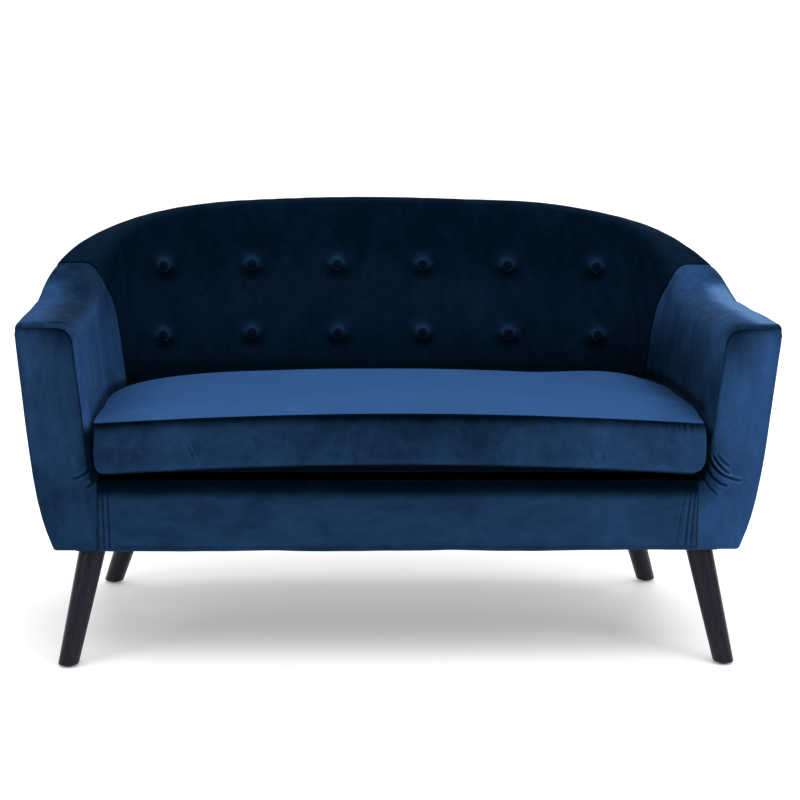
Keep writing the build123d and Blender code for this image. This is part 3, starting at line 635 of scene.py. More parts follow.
def arm_facing(name, flip):
    """A grid of rows across the outline, puffed out in front and flat behind."""
    outline = facing_outline()
    low, high = outline[:, 1].min() + 0.02, outline[:, 1].max() - 0.02
    near = np.array([0, 0.4, 1, 2, 3.4, 5.4, 8, 11])
    middle = [np.linspace(15, 88, 16), np.linspace(90, 186, 54), np.linspace(191, high - low - 15, 44)]
    levels = np.concatenate([low + near, *(low + rows for rows in middle), high - near[::-1]])
    share = np.linspace(0, 1, 56)
    share = 0.5 * share + 0.5 * (1 - np.cos(share * math.pi)) / 2
    share = share - 0.06 * np.sin(share * math.pi)
    spots = []
    for level in levels:
        x0, x1 = width_at(outline, level)
        spots.append(np.stack([x0 + (x1 - x0) * share, np.full(len(share), level)], -1))
    flat = np.array(spots).reshape(-1, 2)
    x, z = flat.T
    gap = gap_to(outline, flat)
    middle_line = (inner_half(z) + outer_half(z)) / 2
    sewn = (x < middle_line) | (z > 573)
    turn_in = np.where(sewn, np.where(z > 316, 1.0, 0.55) * roll(gap, 4.2, 6), roll(gap, 8, 9))
    puff = 2.2 * (1 - np.exp(-gap / 16))
    folds = sum(strength * crease(flat, *line) for *line, strength in SEAT_CREASES[flip])
    space = np.stack([x, np.zeros(len(flat)), z], -1)
    waves = 0.9 * unevenness(space, 120, 11 + flip) + 0.3 * unevenness(space, 42, 13 + flip)
    y = FRONT + 2 - puff + turn_in - 3.2 * folds - waves * np.clip(gap / 12, 0, 1)
    front = np.stack([x, y, z], -1).reshape(len(levels), len(share), 3)
    back = front.copy()
    back[..., 1] = FACING_REAR
    mirror = np.array([-1 if flip else 1, 1, 1])
    piece = skin_of_grids(name, front * mirror, [], back * mirror)
    # Painted shade along the sewn edges, under the top seam and at the seat corner.
    edge_shade = 0.12 * np.exp(-gap / 7) * (z > 330) + 0.18 * np.exp(-(FACING_TOP - z) / 12)
    edge_shade += 0.3 * np.exp(-gap / 6) * bell(z - 372, 45) * (x < middle_line)
    for strength, place, width, height, tall in FACING_SHADES[flip]:
        edge_shade += strength * bell(x - place, width) * bell(z - height, tall)
    # Right facing painted lighter, left darker low down, both lighter outwards; painted light and shade on creases.
    face = 0.45 + 0.09 * rise_between(z, 285, 375) if flip else 0.73
    painted_light = face + 0.08 * rise_between(x, 600, 640) - edge_shade + 0.26 * folds
    set_painted_light(piece, np.concatenate([painted_light, painted_light]))
    return piece


facings = {"right": arm_facing("right_facing_pad", 0), "left": arm_facing("left_facing_pad", 1)}
print("facings have", len(facings["right"].data.polygons), "faces each")

# %% [markdown]
# ## The front border
# A padded strip between the facings, below the cushion. It is gathered where it is sewn to the facings, so a few
# pleats stand near each end and fan out a little towards the base.

# %% Front border
BORDER_TOP, BORDER_REAR, BORDER_ROUND, FOOT_ROUND = 323, -320.5, (8.5, 17), 3
PLEAT_PLACES = {1: ((4, 11, 1.0), (10, 21, 0.9), (18, 37, 0.5)), -1: ((2, 3, 0.5), (8, 11, 0.9), (17, 21, 0.75))}


def front_border():
    """A strip whose section is drawn once and set at many places across the sofa."""
    half = SEAT_HALF - BORDER_SEAM
    side = np.concatenate([[0, 0.7, 1.6, 2.7], np.arange(4, 46, 1.25), np.arange(47.5, 62, 2.5)])
    across = np.concatenate([side - half, np.linspace(66 - half, half - 66, 150), half - side[::-1]])
    bend = np.linspace(0, math.pi / 2, 8)
    low, (deep, tall) = COVER_FOOT + FOOT_ROUND, BORDER_ROUND
    face = [(FRONT + FOOT_ROUND * (1 - math.sin(a)), low - FOOT_ROUND * math.cos(a)) for a in bend[::2]]
    face += [(FRONT, low + (BORDER_TOP - tall - low) * share) for share in np.linspace(0, 1, 40)[1:-1]]
    face += [(FRONT + deep * (1 - math.cos(a)), BORDER_TOP - tall * (1 - math.sin(a))) for a in bend]
    face += [(BORDER_REAR, BORDER_TOP), (BORDER_REAR, COVER_FOOT)]
    piece = skin_of_rings("front_border_pad", np.array([[(x, y, z) for y, z in face] for x in across]))
    points, normals = places_of(piece)
    x, y, z = points.T
    push = -roll(half - np.abs(x), 2.4, 4.5)
    pleats = np.zeros(len(points))
    for sign, places in PLEAT_PLACES.items():
        for top, bottom, strength in places:
            share = np.clip((BORDER_TOP - z) / (BORDER_TOP - COVER_FOOT), 0, 1)
            gap = sign * x - half + top + (bottom - top) * share**0.8
            height = rise_between(z, 201, 214) * rise_between(-z, -326, -300)
            pleats += height * strength * (bell(gap + 3.4, 2.6) - 1.3 * bell(gap, 1.7))
    push += 2.0 * pleats + 1.2 * unevenness(points, 150, 17) + 0.35 * unevenness(points, 45, 18)
    push_out(piece, points, normals, np.where(y > BORDER_REAR - 0.6, 0, push))
    # Painted lighter to the right, darker in the middle and in the pleats' folds; a dark hem line near the foot.
    light_and_shade = 0.53 + 0.04 * x / half - 0.04 * bell(x, 180) - 0.1 * bell(z - 207, 2.5) + 0.1 * pleats
    # Painted shadow of the cushion, darkening the border's top to black.
    set_painted_light(piece, light_and_shade * (1 - rise_between(z, 288, 317)))
    return piece


border = front_border()
print("front border has", len(border.data.polygons), "faces")

# %% [markdown]
# ## The outside
# Board covered in the same velvet closes the outside of the arms and the back. The sheets are smooth, tuck under the
# rolled edge of the covers at the top and turn under at the base.

# %% Outside panels
PANEL_TOP_GAP, PANEL_LEVELS, PANEL_TONE = 0.2, 58, 0.56


def outside_rings(run, tuck):
    """Rings round a thin panel: up its outside and down its inside."""
    spots = stations(run)
    bottom = np.full(len(run), COVER_FOOT)
    top = spots.height - LIP - PANEL_TOP_GAP
    near = np.array([0, 1.0, 2.4, 4.4, 7.0, 10.0])
    share = np.linspace(0, 1, PANEL_LEVELS)[None]
    middle = (bottom + 13)[:, None] * (1 - share) + (top - 13)[:, None] * share
    z = np.concatenate([bottom[:, None] + near, middle, top[:, None] - near[::-1]], 1)
    s = np.stack([outer(spots, z[:, i]) for i in range(z.shape[1])], 1)
    edge = np.minimum(z - bottom[:, None], top[:, None] - z)
    s = s - roll(edge, 4.5, 9) - tuck[:, None]
    inside = np.stack([outer(spots, z[:, i]) - PANEL for i in range(0, z.shape[1], 7)], 1)
    outline = np.concatenate([np.stack([s, z], -1), np.stack([inside, z[:, ::7]], -1)[:, ::-1]], 1)
    return in_space(spots, outline)


def outside_panel(name, run, seams, flip=False):
    tuck = np.zeros(len(run))
    for place in seams:
        tuck += roll(np.abs(run - place), 4.2, SEAM_ROLL)
    piece = skin_of_rings(name, outside_rings(run, tuck))
    points, normals = places_of(piece)
    set_painted_light(piece, np.full(len(points), PANEL_TONE))
    push_out(piece, points, normals, np.minimum(0.7 * unevenness(points, 190, 21 + flip), 1.2), flip)
    return piece


arm_outside = run_between(ARM_START - 0.6, SEAM - SEAM_SLIT, 9)
outside_panels = {}
for flip, name in enumerate(("right_outside_arm", "left_outside_arm")):
    outside_panels[name] = outside_panel(name, arm_outside, [arm_outside[-1]], bool(flip))
back_outside = run_between(SEAM + SEAM_SLIT, 2 * HALF_RIM - SEAM - SEAM_SLIT, 11)
outside_panels["outside_back"] = outside_panel("outside_back", back_outside, [back_outside[0], back_outside[-1]])
print("outside back has", len(outside_panels["outside_back"].data.polygons), "faces")

# %% [markdown]
# ## The seat cushion
# A loose box cushion, straight in front and round behind. Its top panel is sewn to the band along a sharp edge that
# stands proud of the band, the band swells below it, and the whole front is a little higher in the middle. It is
# made as two grids, the top panel and the bottom panel, with the band's rings between them.

# %% Seat cushion
CUSHION_FRONT, CUSHION_BOTTOM, CUSHION_SIDE, CUSHION_REAR = -341, 324.6, 2, 9
CUSHION_CORNER, CUSHION_ROUND, CUSHION_COLS = 13, 255, 210
BAND_HEIGHT, CROWN_RISE, CORNER_SWELL = 94, 12, {1: 9.0, -1: 4.0}
TOP_LEVEL, BAND_LEVEL, SEAM_TOP, SEAM_DROP, SEAM_POWER, SEAM_WIDE = 428, 420, 445, 16, 1.9, 500
BAND = ((1.0, 0.5), (2.2, 3.0), (4.0, 7.0), (7.0, 9.2), (11, 9.2), (16, 7.8), (22, 5.8), (29, 3.8), (37, 2.0))
BAND += ((46, 0.8), (56, 0.2), (67, 0.2), (76, 0.8), (83, 2.6), (87.5, 5.4), (91, 10), (93, 17))
UNDERSIDE = ((0.03, 27), (0.08, 39), (0.3, 56), (0.75, 70))


def grid_of(widths, ys, share):
    """Grid of (x, y) points: one row for each y, from one side to the other."""
    return np.stack([np.outer(widths, share), np.outer(ys, np.ones(len(share)))], -1)


def seat_plan(z, draw):
    """Grid of points over the cushion's plan at a height, drawn in all round."""
    half = inner_half(z) - CUSHION_SIDE - draw
    front, rear = CUSHION_FRONT + draw, inner_rear(z) - CUSHION_REAR - draw
    small, large = CUSHION_CORNER, CUSHION_ROUND - draw
    corner, tail = np.linspace(0, math.pi / 2, 10), np.linspace(0, math.pi / 2, 56)[1:]
    straight = np.linspace(front + small, rear - large, 36)[1:]
    ys = [front + small * (1 - np.cos(corner)), straight, rear - large + large * np.sin(tail)]
    widths = [half - small + small * np.sin(corner), np.full(len(straight), half)]
    widths += [half - large + large * np.cos(tail)]
    share = np.linspace(-1, 1, CUSHION_COLS)
    share = 0.4 * share + 0.6 * np.sin(share * math.pi / 2)
    return grid_of(np.concatenate(widths), np.concatenate(ys), share)


def front_bow(x):
    """The front's line: highest in the middle."""
    return SEAM_TOP - SEAM_DROP * (np.abs(x) / SEAM_WIDE) ** SEAM_POWER


def seam_height(x, y):
    """The top seam: the front's line, lower at the sides and behind."""
    side_drop = 4 * (np.abs(x) / SEAM_WIDE) ** 3 * rise_between(y, CUSHION_FRONT, -60)
    plump = 13 * rise_between(x, 260, 470) * rise_between(y, -338, -230)
    slack = 6 * rise_between(-x, 400, 510) * bell(y + 90, 110)
    return front_bow(x) - side_drop - 14 * rise_between(y, 70, 165) + plump - slack


def foot_height(x):
    """The band's foot: the front's line again, and even all round."""
    return front_bow(x) - BAND_HEIGHT


def band_ring(down, draw):
    """One ring of the band, a distance below the seam; the lip stands further out in the middle."""
    full = border_of(seat_plan(BAND_LEVEL, 0))
    drawn = border_of(seat_plan(BAND_LEVEL, draw))
    wide = np.abs(full[:, 0])
    corner = rise_between(wide, 420, 505) * (1 - rise_between(down, 60, 80))
    lip = np.maximum(0.4 * bell(down - 9, 16) * np.clip(wide / SEAM_WIDE, 0, 1) ** 2, corner)
    edge = drawn + (full - drawn) * lip[:, None]
    ahead = rise_between(-edge[:, 1], 332.5, 336.5) * math.sin(math.pi * down / BAND_HEIGHT) ** 0.6
    swell = np.where(edge[:, 0] > 0, CORNER_SWELL[1], -CORNER_SWELL[-1])
    edge[:, 0] += swell * ahead * rise_between(np.abs(edge[:, 0]), 430, 505)
    seam = seam_height(full[:, 0], full[:, 1])
    z = seam + (foot_height(full[:, 0]) - seam) * down / BAND_HEIGHT
    return np.concatenate([edge, z[:, None]], 1)


def under_ring(share, draw):
    """One ring of the bottom panel, from the band's foot down to the platform."""
    edge = border_of(seat_plan(BAND_LEVEL, draw))
    foot = foot_height(edge[:, 0])
    return np.concatenate([edge, (foot + (CUSHION_BOTTOM - foot) * share)[:, None]], 1)


def seat_cushion():
    """The cushion, and how many of its points are on the top panel."""
    plan = seat_plan(TOP_LEVEL, 0)
    x, y = plan[..., 0], plan[..., 1]
    side_gap, ahead, behind = np.abs(plan[:, -1:, 0]) - np.abs(x), y - y[0, 0], y[-1, 0] - y
    swell = (1 - np.exp(-side_gap / 50)) * (1 - np.exp(-ahead / 70)) * (1 - np.exp(-behind / 30))
    top = np.stack([x, y, seam_height(x, y) + CROWN_RISE * swell], -1)
    walls = [band_ring(*row) for row in BAND] + [under_ring(*row) for row in UNDERSIDE]
    under = seat_plan(BAND_LEVEL, UNDERSIDE[-1][1] + 16)
    bottom = np.concatenate([under, np.full(under.shape[:2] + (1,), CUSHION_BOTTOM)], -1)
    return skin_of_grids("seat_cushion_pad", top, walls, bottom), top.shape[0] * top.shape[1]


cushion, top_count = seat_cushion()
print("cushion has", len(cushion.data.polygons), "faces")

# %% [markdown]
# ## Cloth that settles
# The pads are filled under light pressure while their seams and tufts are held, so that the panels swell between
# them as real padding does. Blender's cloth does this in a few frames, and no point may move further than a set
# distance.

# %% Cloth run
CLOTH = {"quality": 5, "mass": 0.3, "tension_stiffness": 12, "compression_stiffness": 12, "shear_stiffness": 5}
CLOTH |= {"bending_stiffness": 0.4, "vertex_group_mass": "held", "use_pressure": True}
BAND_FACE, BAND_HELD = -322, 362
CUSHION_FILL, BACK_FILL = {"pressure": 0.3, "cap": 6.0}, {"pressure": 0.4, "cap": 5.0}


def settle(piece, held, pressure, cap, frames=16):
    """Lets cloth swell between the points that are held, none of them by more than the cap."""
    start = places_of(piece)[0]
    group = piece.vertex_groups.new(name="held")
    group.add([int(i) for i in np.nonzero(held)[0]], 1.0, "REPLACE")
    cloth = piece.modifiers.new("swell", "CLOTH")
    for setting, value in CLOTH.items():
        setattr(cloth.settings, setting, value)
    cloth.settings.uniform_pressure_force = pressure
    cloth.settings.effector_weights.gravity = 0
    cloth.collision_settings.use_collision = False
    cloth.point_cache.frame_end = frames
    for number in range(1, frames + 1):
        bpy.context.scene.frame_set(number)
    shaped = piece.evaluated_get(bpy.context.evaluated_depsgraph_get())
    moved = np.zeros(len(piece.data.vertices) * 3)
    shaped.data.vertices.foreach_get("co", moved)
    shift = moved.reshape(-1, 3) / MM - start
    length = np.linalg.norm(shift, axis=1, keepdims=True)
    shift *= np.minimum(1, cap / np.maximum(length, 1e-9))
    piece.modifiers.remove(cloth)
    piece.vertex_groups.remove(group)
    move_points(piece, start + shift)
    bpy.context.scene.frame_set(1)
    return f"{piece.name} swelled {length.max():.1f} mm, {np.median(length[~held]):.1f} mm in the middle"


points = places_of(cushion)[0]
front_band = (points[:, 1] < BAND_FACE) & (points[:, 2] > BAND_HELD)
held = (np.arange(len(points)) >= top_count) & ~front_band
held[border_of(np.arange(top_count).reshape(-1, CUSHION_COLS))] = True
print(settle(cushion, held, **CUSHION_FILL))
print(settle(inside_back, ~back_seen | (end_gap < 4) | (tuft_gap < 12), **BACK_FILL))

# %% [markdown]
# ## Folds on the cushion's band
# The band is a little too long for the top panel, so it shows a few short creases, gathers at the right corner and
# soft waves. The top panel is painted lightest, where light falls from above, and the band is painted darker.

# %% Band folds
BAND_FOLDS = (
    ((-369, 398), (-361, 380), (-353, 364), 1.1),
    ((-347, 372), (-344, 364), (-339, 355), 0.7),
    ((330, 372), (337, 362), (340, 352), 0.8),
    ((352, 374), (346, 362), (345, 350), 0.8),
    ((112, 432), (106, 420), (104, 404), 0.5),
    ((28, 436), (24, 424), (25, 410), 0.4),
)
GATHERS = ((459, 0.5), (471, 1.1), (479, 0.7), (490, 1.3), (502, 0.9))
points, normals = places_of(cushion)
x, y, z = points.T
below = seam_height(x, y) - z
on_band = (y < BAND_FACE) & (below < BAND_HEIGHT) & (np.arange(len(points)) >= 2 * top_count)
flat = np.stack([x, z], -1)
folds = sum(strength * crease(flat, *line) for *line, strength in BAND_FOLDS)
for place, strength in GATHERS:
    gather = bell(x - place - 3, 2) - 1.2 * bell(x - place, 1.7)
    folds = folds + 1.4 * strength * bell(below - 9, 6 + 3 * strength) * gather
fade = np.clip(below / 10, 0, 1) * rise_between(BAND_HEIGHT - below, 1, 14)
waves = 1.2 * unevenness(points, 75, 31) + 0.4 * unevenness(points, 28, 32)
push = np.where(on_band, (1.3 * folds + waves) * fade, 0)
on_top = np.arange(len(points)) < top_count
push += np.where(on_top, 0.7 * unevenness(points, 190, 33) * np.clip((y - CUSHION_FRONT) / 60, 0, 1), 0)
push_out(cushion, points, normals, push)
down = np.maximum(below, 0)
# Painted light and shade on the band: lighter to the right, darker in the middle and along its folds.
band_painted_light = 0.56 + 0.05 * x / SEAM_WIDE - 0.12 * bell(x - 20, 210) - 0.16 * bell(x - 40, 290) * np.exp(-down / 30)
# A painted highlight along the band's foot, and painted shadow under the top panel's lip.
band_painted_light += 0.1 * np.where(on_band, folds, 0) + 0.08 * bell(below - 86, 4) - 0.5 * bell(down, 11)
# Painted shadow underneath, fading the band to black.
band_painted_light *= 1 - rise_between(below, BAND_HEIGHT - 5, BAND_HEIGHT)
# Top panel painted lightest, lit from above, with painted shade along its sides and at the right front corner.
top_painted_light = 0.9 + 0.02 * bell(y + 280, 60) - 0.14 * rise_between(np.abs(x), 400, 520)
top_painted_light -= 0.16 * rise_between(x, 455, 520) * rise_between(y, -330, -220)
set_painted_light(cushion, np.where(on_top, top_painted_light, band_painted_light))
print("band folds up to", round(float(np.abs(push).max()), 1), "mm")

# %% [markdown]
# ## Platform cloth and dust cover
# Under the cushion lies a stretched platform cloth, and a thin black cloth closes the base from below. Both are
# sheets with a little slack between the rails that they are stapled to.

# %% Sheets
DECK_TOP, DECK_CLOTH, DECK_INSET, DUST_INSET, DUST_CLOTH = 323, 1.2, 1.5, 9, 0.8
STRAIGHT_ROWS, ROUND_ROWS, SHEET_COLS = 24, 60, 90


def sheet_from_plan(name, plan, z, sag, thickness, seed):
    """A sheet over a plan, level at its edges and sagging unevenly between them."""
    rows, cols = plan.shape[:2]
    flat = np.concatenate([plan, np.full((rows, cols, 1), float(z))], -1)
    along = np.minimum(np.arange(rows)[:, None], np.arange(rows)[::-1, None]) / (rows / 2)
    across = np.minimum(np.arange(cols)[None], np.arange(cols)[None, ::-1]) / (cols / 2)
    waves = unevenness(flat.reshape(-1, 3), 150, seed).reshape(rows, cols)
    flat[..., 2] -= sag * np.sqrt(along * across) * (0.7 + 0.3 * waves)
    below = flat.copy()
    below[..., 2] -= thickness
    return skin_of_grids(name, flat, [], below)


def area_of(plan):
    """Flat area of a plan's grid in square metres."""
    rows = np.abs(plan[:, -1, 0] - plan[:, 0, 0])
    return float(((rows[1:] + rows[:-1]) / 2 * np.diff(plan[:, 0, 1])).sum()) * MM * MM


def tub_plan(half, front, middle, rear, power):
    """Grid of points over a plan that is straight up to its middle and rounded behind it."""
    bend = np.linspace(0, math.pi / 2, ROUND_ROWS)[1:-1]
    straight, behind = np.linspace(front, middle, STRAIGHT_ROWS), (rear - middle) * np.sin(bend) ** (2 / power)
    widths = np.concatenate([np.full(STRAIGHT_ROWS, half), half * np.cos(bend) ** (2 / power)])
    return grid_of(widths, np.concatenate([straight, middle + behind]), np.linspace(-1, 1, SHEET_COLS))


deck_half, deck_rear = inner_half(DECK_TOP) - DECK_INSET, inner_rear(DECK_TOP) - 2
deck_plan = tub_plan(deck_half, COVER_FRONT + 0.5, INNER_MIDDLE, deck_rear, SEAT_POWER)
deck = sheet_from_plan("platform_cloth", deck_plan, DECK_TOP, 0.5, DECK_CLOTH, 41)
dust_half, dust_rear = outer_half(BASE_HEIGHT) - DUST_INSET, outer_rear(BASE_HEIGHT) - DUST_INSET
dust_plan = tub_plan(dust_half, COVER_FRONT, OUTER_MIDDLE, dust_rear, BASE_POWER)
dust = sheet_from_plan("dust_cloth", dust_plan, BASE_HEIGHT + 1.6, 3.0, DUST_CLOTH, 43)
print("platform cloth", round(area_of(deck_plan), 3), "m2, dust cover", round(area_of(dust_plan), 3), "m2")

# %% [markdown]
# ## The legs
# Four turned legs that taper and splay. A front and a rear leg start as cones along the leg's own line, are cut level
# at the base and at the foot with a bisecting plane, and get a small bevel round the foot. The other two are copies,
# scaled by -1 across the sofa, which turns a mesh inside out, so their normals are recalculated.

# %% Legs
LEG_TOP, LEG_FOOT, LEG_OVER, LEG_SIDES, FOOT_BEVEL, GLIDE = 23, 17.5, 20, 72, 2.2, 4
LEG_HEAD = BASE_HEIGHT + 0.4
LEG_LINES = {"front": ((531, -290), (572, -340)), "rear": ((472, 147), (538, 215))}


def only(piece):
    """Selects one piece alone."""
    bpy.ops.object.select_all(action="DESELECT")
    piece.select_set(True)
    bpy.context.view_layer.objects.active = piece


def turned_leg(name, top, foot):
    """A leg from its place under the base to its place on the floor, both as (x, y)."""
    head = Vector((*top, LEG_HEAD)) * MM
    sole = Vector((*foot, GLIDE)) * MM
    line = head - sole
    over = LEG_OVER * MM
    growth = (LEG_TOP - LEG_FOOT) * MM / line.length * over
    bpy.ops.object.select_all(action="DESELECT")
    bpy.ops.mesh.primitive_cone_add(
        vertices=LEG_SIDES,
        radius1=LEG_FOOT * MM - growth,
        radius2=LEG_TOP * MM + growth,
        depth=line.length + 2 * over,
        location=(head + sole) / 2,
        rotation=line.to_track_quat("Z", "Y").to_euler(),
    )
    leg = bpy.context.object
    leg.name = name
    bpy.ops.object.transform_apply(location=True, rotation=True, scale=True)
    bpy.ops.object.mode_set(mode="EDIT")
    for height, keep_above in ((GLIDE * MM, True), (LEG_HEAD * MM, False)):
        bpy.ops.mesh.select_all(action="SELECT")
        bpy.ops.mesh.bisect(
            plane_co=(0, 0, height),
            plane_no=(0, 0, 1),
            use_fill=True,
            clear_inner=keep_above,
            clear_outer=not keep_above,
        )
    bpy.ops.mesh.select_mode(type="EDGE")
    bpy.ops.mesh.select_all(action="DESELECT")
    bpy.ops.object.mode_set(mode="OBJECT")
    sole_height = GLIDE * MM + 1e-5
    for edge in leg.data.edges:
        edge.select = all(leg.data.vertices[v].co.z < sole_height for v in edge.vertices)
    bpy.ops.object.mode_set(mode="EDIT")
    bpy.ops.mesh.bevel(offset=FOOT_BEVEL * MM, segments=4, affect="EDGES")
    bpy.ops.object.mode_set(mode="OBJECT")
    only(leg)
    bpy.ops.object.shade_smooth_by_angle(angle=math.radians(50))
    return leg


def mirrored(piece, name):
    """A copy with its own mesh on the sofa's other side."""
    twin = piece.copy()
    twin.name, twin.data = name, piece.data.copy()
    bpy.context.collection.objects.link(twin)
    only(twin)
    bpy.ops.object.mode_set(mode="EDIT")
    bpy.ops.mesh.select_all(action="SELECT")
    bpy.ops.transform.resize(value=(-1, 1, 1), center_override=(0, 0, 0))
    bpy.ops.mesh.normals_make_consistent(inside=False)
    bpy.ops.object.mode_set(mode="OBJECT")
    return twin


legs = {}
for row, (top, foot) in LEG_LINES.items():
    legs[f"right_{row}_leg"] = turned_leg(f"right_{row}_turned_leg", top, foot)
    legs[f"left_{row}_leg"] = mirrored(legs[f"right_{row}_leg"], f"left_{row}_turned_leg")
print("legs", sorted(legs))

# %% [markdown]
# ## The buttons
# Each button is a flat dome of velvet over a metal shell, with the cloth drawn under its edge. One is modelled from a
# sphere and copied to every tuft.

# %% Buttons
BUTTON_RADIUS, BUTTON_FLAT, BUTTON_SINK, BUTTON_TONE = 11.2, 0.56, 7.2, 0.06


def covered_button():
    bpy.ops.object.select_all(action="DESELECT")
    bpy.ops.mesh.primitive_uv_sphere_add(segments=40, ring_count=22, radius=BUTTON_RADIUS * MM)
    button = bpy.context.object
    bpy.ops.object.mode_set(mode="EDIT")
    bpy.ops.mesh.select_all(action="SELECT")
    bpy.ops.transform.resize(value=(1, 1, BUTTON_FLAT))
    bpy.ops.object.mode_set(mode="OBJECT")
    only(button)
    bpy.ops.object.shade_smooth()
    return button


button = covered_button()
buttons = []
for spot, facing in tufts:
    copy = bpy.data.objects.new("button", button.data.copy())
    bpy.context.scene.collection.objects.link(copy)
    place = Vector((spot - facing * BUTTON_SINK) * MM)
    copy.data.transform(Matrix.Translation(place) @ Vector(facing).to_track_quat("Z", "Y").to_matrix().to_4x4())
    buttons.append(copy)
bpy.data.objects.remove(button)
bpy.ops.object.select_all(action="DESELECT")
for copy in buttons:
    copy.select_set(True)
bpy.context.view_layer.objects.active = buttons[0]
bpy.ops.object.join()
tuft_buttons = bpy.context.object
tuft_buttons.name = "covered_buttons"
# The buttons are painted near black: painted shade deep in the tufts.
set_painted_light(tuft_buttons, np.full(len(tuft_buttons.data.vertices), BUTTON_TONE))
print("buttons have", len(tuft_buttons.data.polygons), "faces")

# %% [markdown]
# ## Velvet
# Velvet looks dark or light by how light falls on its pile, and its tips catch a soft sheen at the edges. Hands brush
# the pile into patches. Here the light and shade are painted: each piece carries a painted light value at every
# point, noise breaks it up into patches and strokes where it is not painted lightest, and a colour ramp turns it into
# navy, from painted shade to painted light.

# %% Nodes
def nodes_of(name):
    """A new material, its nodes and its shader."""
    material = bpy.data.materials.new(name)
    material.use_nodes = True
    tree = material.node_tree
    return material, tree, tree.nodes["Principled BSDF"]


def feed(tree, node, **sockets):
    """Fills a node's sockets: another node's output is linked, and anything else is the socket's own value."""
    for name, value in sockets.items():
        socket = node.inputs[name.replace("_", " ")]
        if isinstance(value, bpy.types.NodeSocket):
            tree.links.new(value, socket)
        else:
            socket.default_value = value
    return node


def add(tree, kind, **sockets):
    return feed(tree, tree.nodes.new("ShaderNode" + kind), **sockets)


def noise(tree, size, detail, stretch=(1, 1, 1), distortion=0.0):
    """Noise on the object's own coordinates, about the given size in metres."""
    mapping = add(tree, "Mapping", Vector=add(tree, "TexCoord").outputs["Object"], Scale=stretch)
    texture = add(tree, "TexNoise", Vector=mapping.outputs["Vector"], Scale=1 / size)
    return feed(tree, texture, Detail=detail, Roughness=0.6, Distortion=distortion).outputs["Fac"]


def spread(tree, value, low, high, span=(0.3, 0.7)):
    """Brings a span of values, which is the middle of a noise, to the range from low to high."""
    node = add(tree, "MapRange", Value=value, From_Min=span[0], From_Max=span[1], To_Min=low, To_Max=high)
    return node.outputs["Result"]


def join(tree, operation, first, second):
    node = tree.nodes.new("ShaderNodeMath")
    node.operation = operation
    tree.links.new(first, node.inputs[0])
    tree.links.new(second, node.inputs[1])
    return node.outputs["Value"]


def ramp(tree, value, stops):
    """Colours at places between 0 and 1."""
    node = add(tree, "ValToRGB", Fac=value)
    for element, (place, colour) in zip(node.color_ramp.elements, (stops[0], stops[-1])):
        element.position, element.color = place, (*colour, 1)
    for place, colour in stops[1:-1]:
        node.color_ramp.elements.new(place).color = (*colour, 1)
    return node.outputs["Color"]


def bumped(tree, shader, layers):
    """Bump layers of (height, strength, distance), one over the other."""
    below = {}
    for height, strength, distance in layers:
        node = add(tree, "Bump", Height=height, Strength=strength, Distance=distance, **below)
        below = {"Normal": node.outputs["Normal"]}
    feed(tree, shader, **below)


print("noise, ramps and bumps can be wired")

# %% Velvet
# Navy from painted shade at 0 to painted light at 1.
NAVY = (
    (0.0, (0.0001, 0.0018, 0.0046)),
    (0.16, (0.0003, 0.0047, 0.0112)),
    (0.4, (0.0046, 0.0154, 0.0390)),
    (0.6, (0.0106, 0.0326, 0.0830)),
    (0.8, (0.0180, 0.0570, 0.1560)),
    (1.0, (0.0280, 0.0880, 0.2360)),
)
# The arms' lightest colour: a greyer painted sheen where an arm's top is painted lightest.
PAINTED_SHEEN_TIPS = (0.0800, 0.1750, 0.3500)


def velvet(name, stretch, patchy, sheen, tips=NAVY[-1][1]):
    """Navy velvet: stretch draws its strokes out, patchy is how much they differ, sheen how much its tips shine."""
    material, tree, shader = nodes_of(name)
    # The painted light and shade of each point.
    light_and_shade = tree.nodes.new("ShaderNodeAttribute")
    light_and_shade.attribute_name = "painted_light"
    patches = spread(tree, noise(tree, 0.085, 8, stretch, 0.3), -0.8 * patchy, 0.8 * patchy)
    strokes = spread(tree, noise(tree, 0.018, 8, stretch, 0.4), -0.6 * patchy, 0.6 * patchy)
    calm = spread(tree, light_and_shade.outputs["Fac"], 1, 0.35, (0.72, 0.86))
    uneven = join(tree, "MULTIPLY", join(tree, "ADD", patches, strokes), calm)
    shade = ramp(tree, join(tree, "ADD", light_and_shade.outputs["Fac"], uneven), NAVY[:-1] + ((1.0, tips),))
    pile = noise(tree, 0.0016, 2)
    feed(tree, shader, Base_Color=shade, Roughness=spread(tree, pile, 0.75, 0.95), Specular_IOR_Level=0.01)
    feed(tree, shader, Sheen_Weight=sheen, Sheen_Roughness=0.4, Sheen_Tint=(0.12, 0.3, 0.66, 1))
    bumped(tree, shader, ((noise(tree, 0.045, 4, stretch), 0.1, 0.004), (pile, 0.25, 0.0004)))
    return material


velvets = {
    "arm": velvet("velvet_arm", (1.6, 1.6, 0.35), 0.12, 0.06, PAINTED_SHEEN_TIPS),
    "facing": velvet("velvet_facing", (1.3, 1.3, 0.6), 0.1, 0.12),
    "border": velvet("velvet_border", (0.5, 1.0, 1.2), 0.085, 0.12),
    "cushion": velvet("velvet_cushion", (0.9, 0.9, 0.8), 0.1, 0.14),
    "back": velvet("velvet_back", (1.3, 1.3, 0.6), 0.05, 0.008),
    "button": velvet("velvet_button", (1.0, 1.0, 1.0), 0.03, 0.9),
    "outside": velvet("velvet_outside", (1.2, 1.2, 0.6), 0.07, 0.1),
}
print("velvets", sorted(velvets))

# %% [markdown]
# ## Wood, steel and the hidden cloths
# The legs are wood under black satin lacquer, with a faint grain. Hidden pieces get their own simple finishes, so
# that nothing is bare where the cushion is lifted or the base is seen from below.

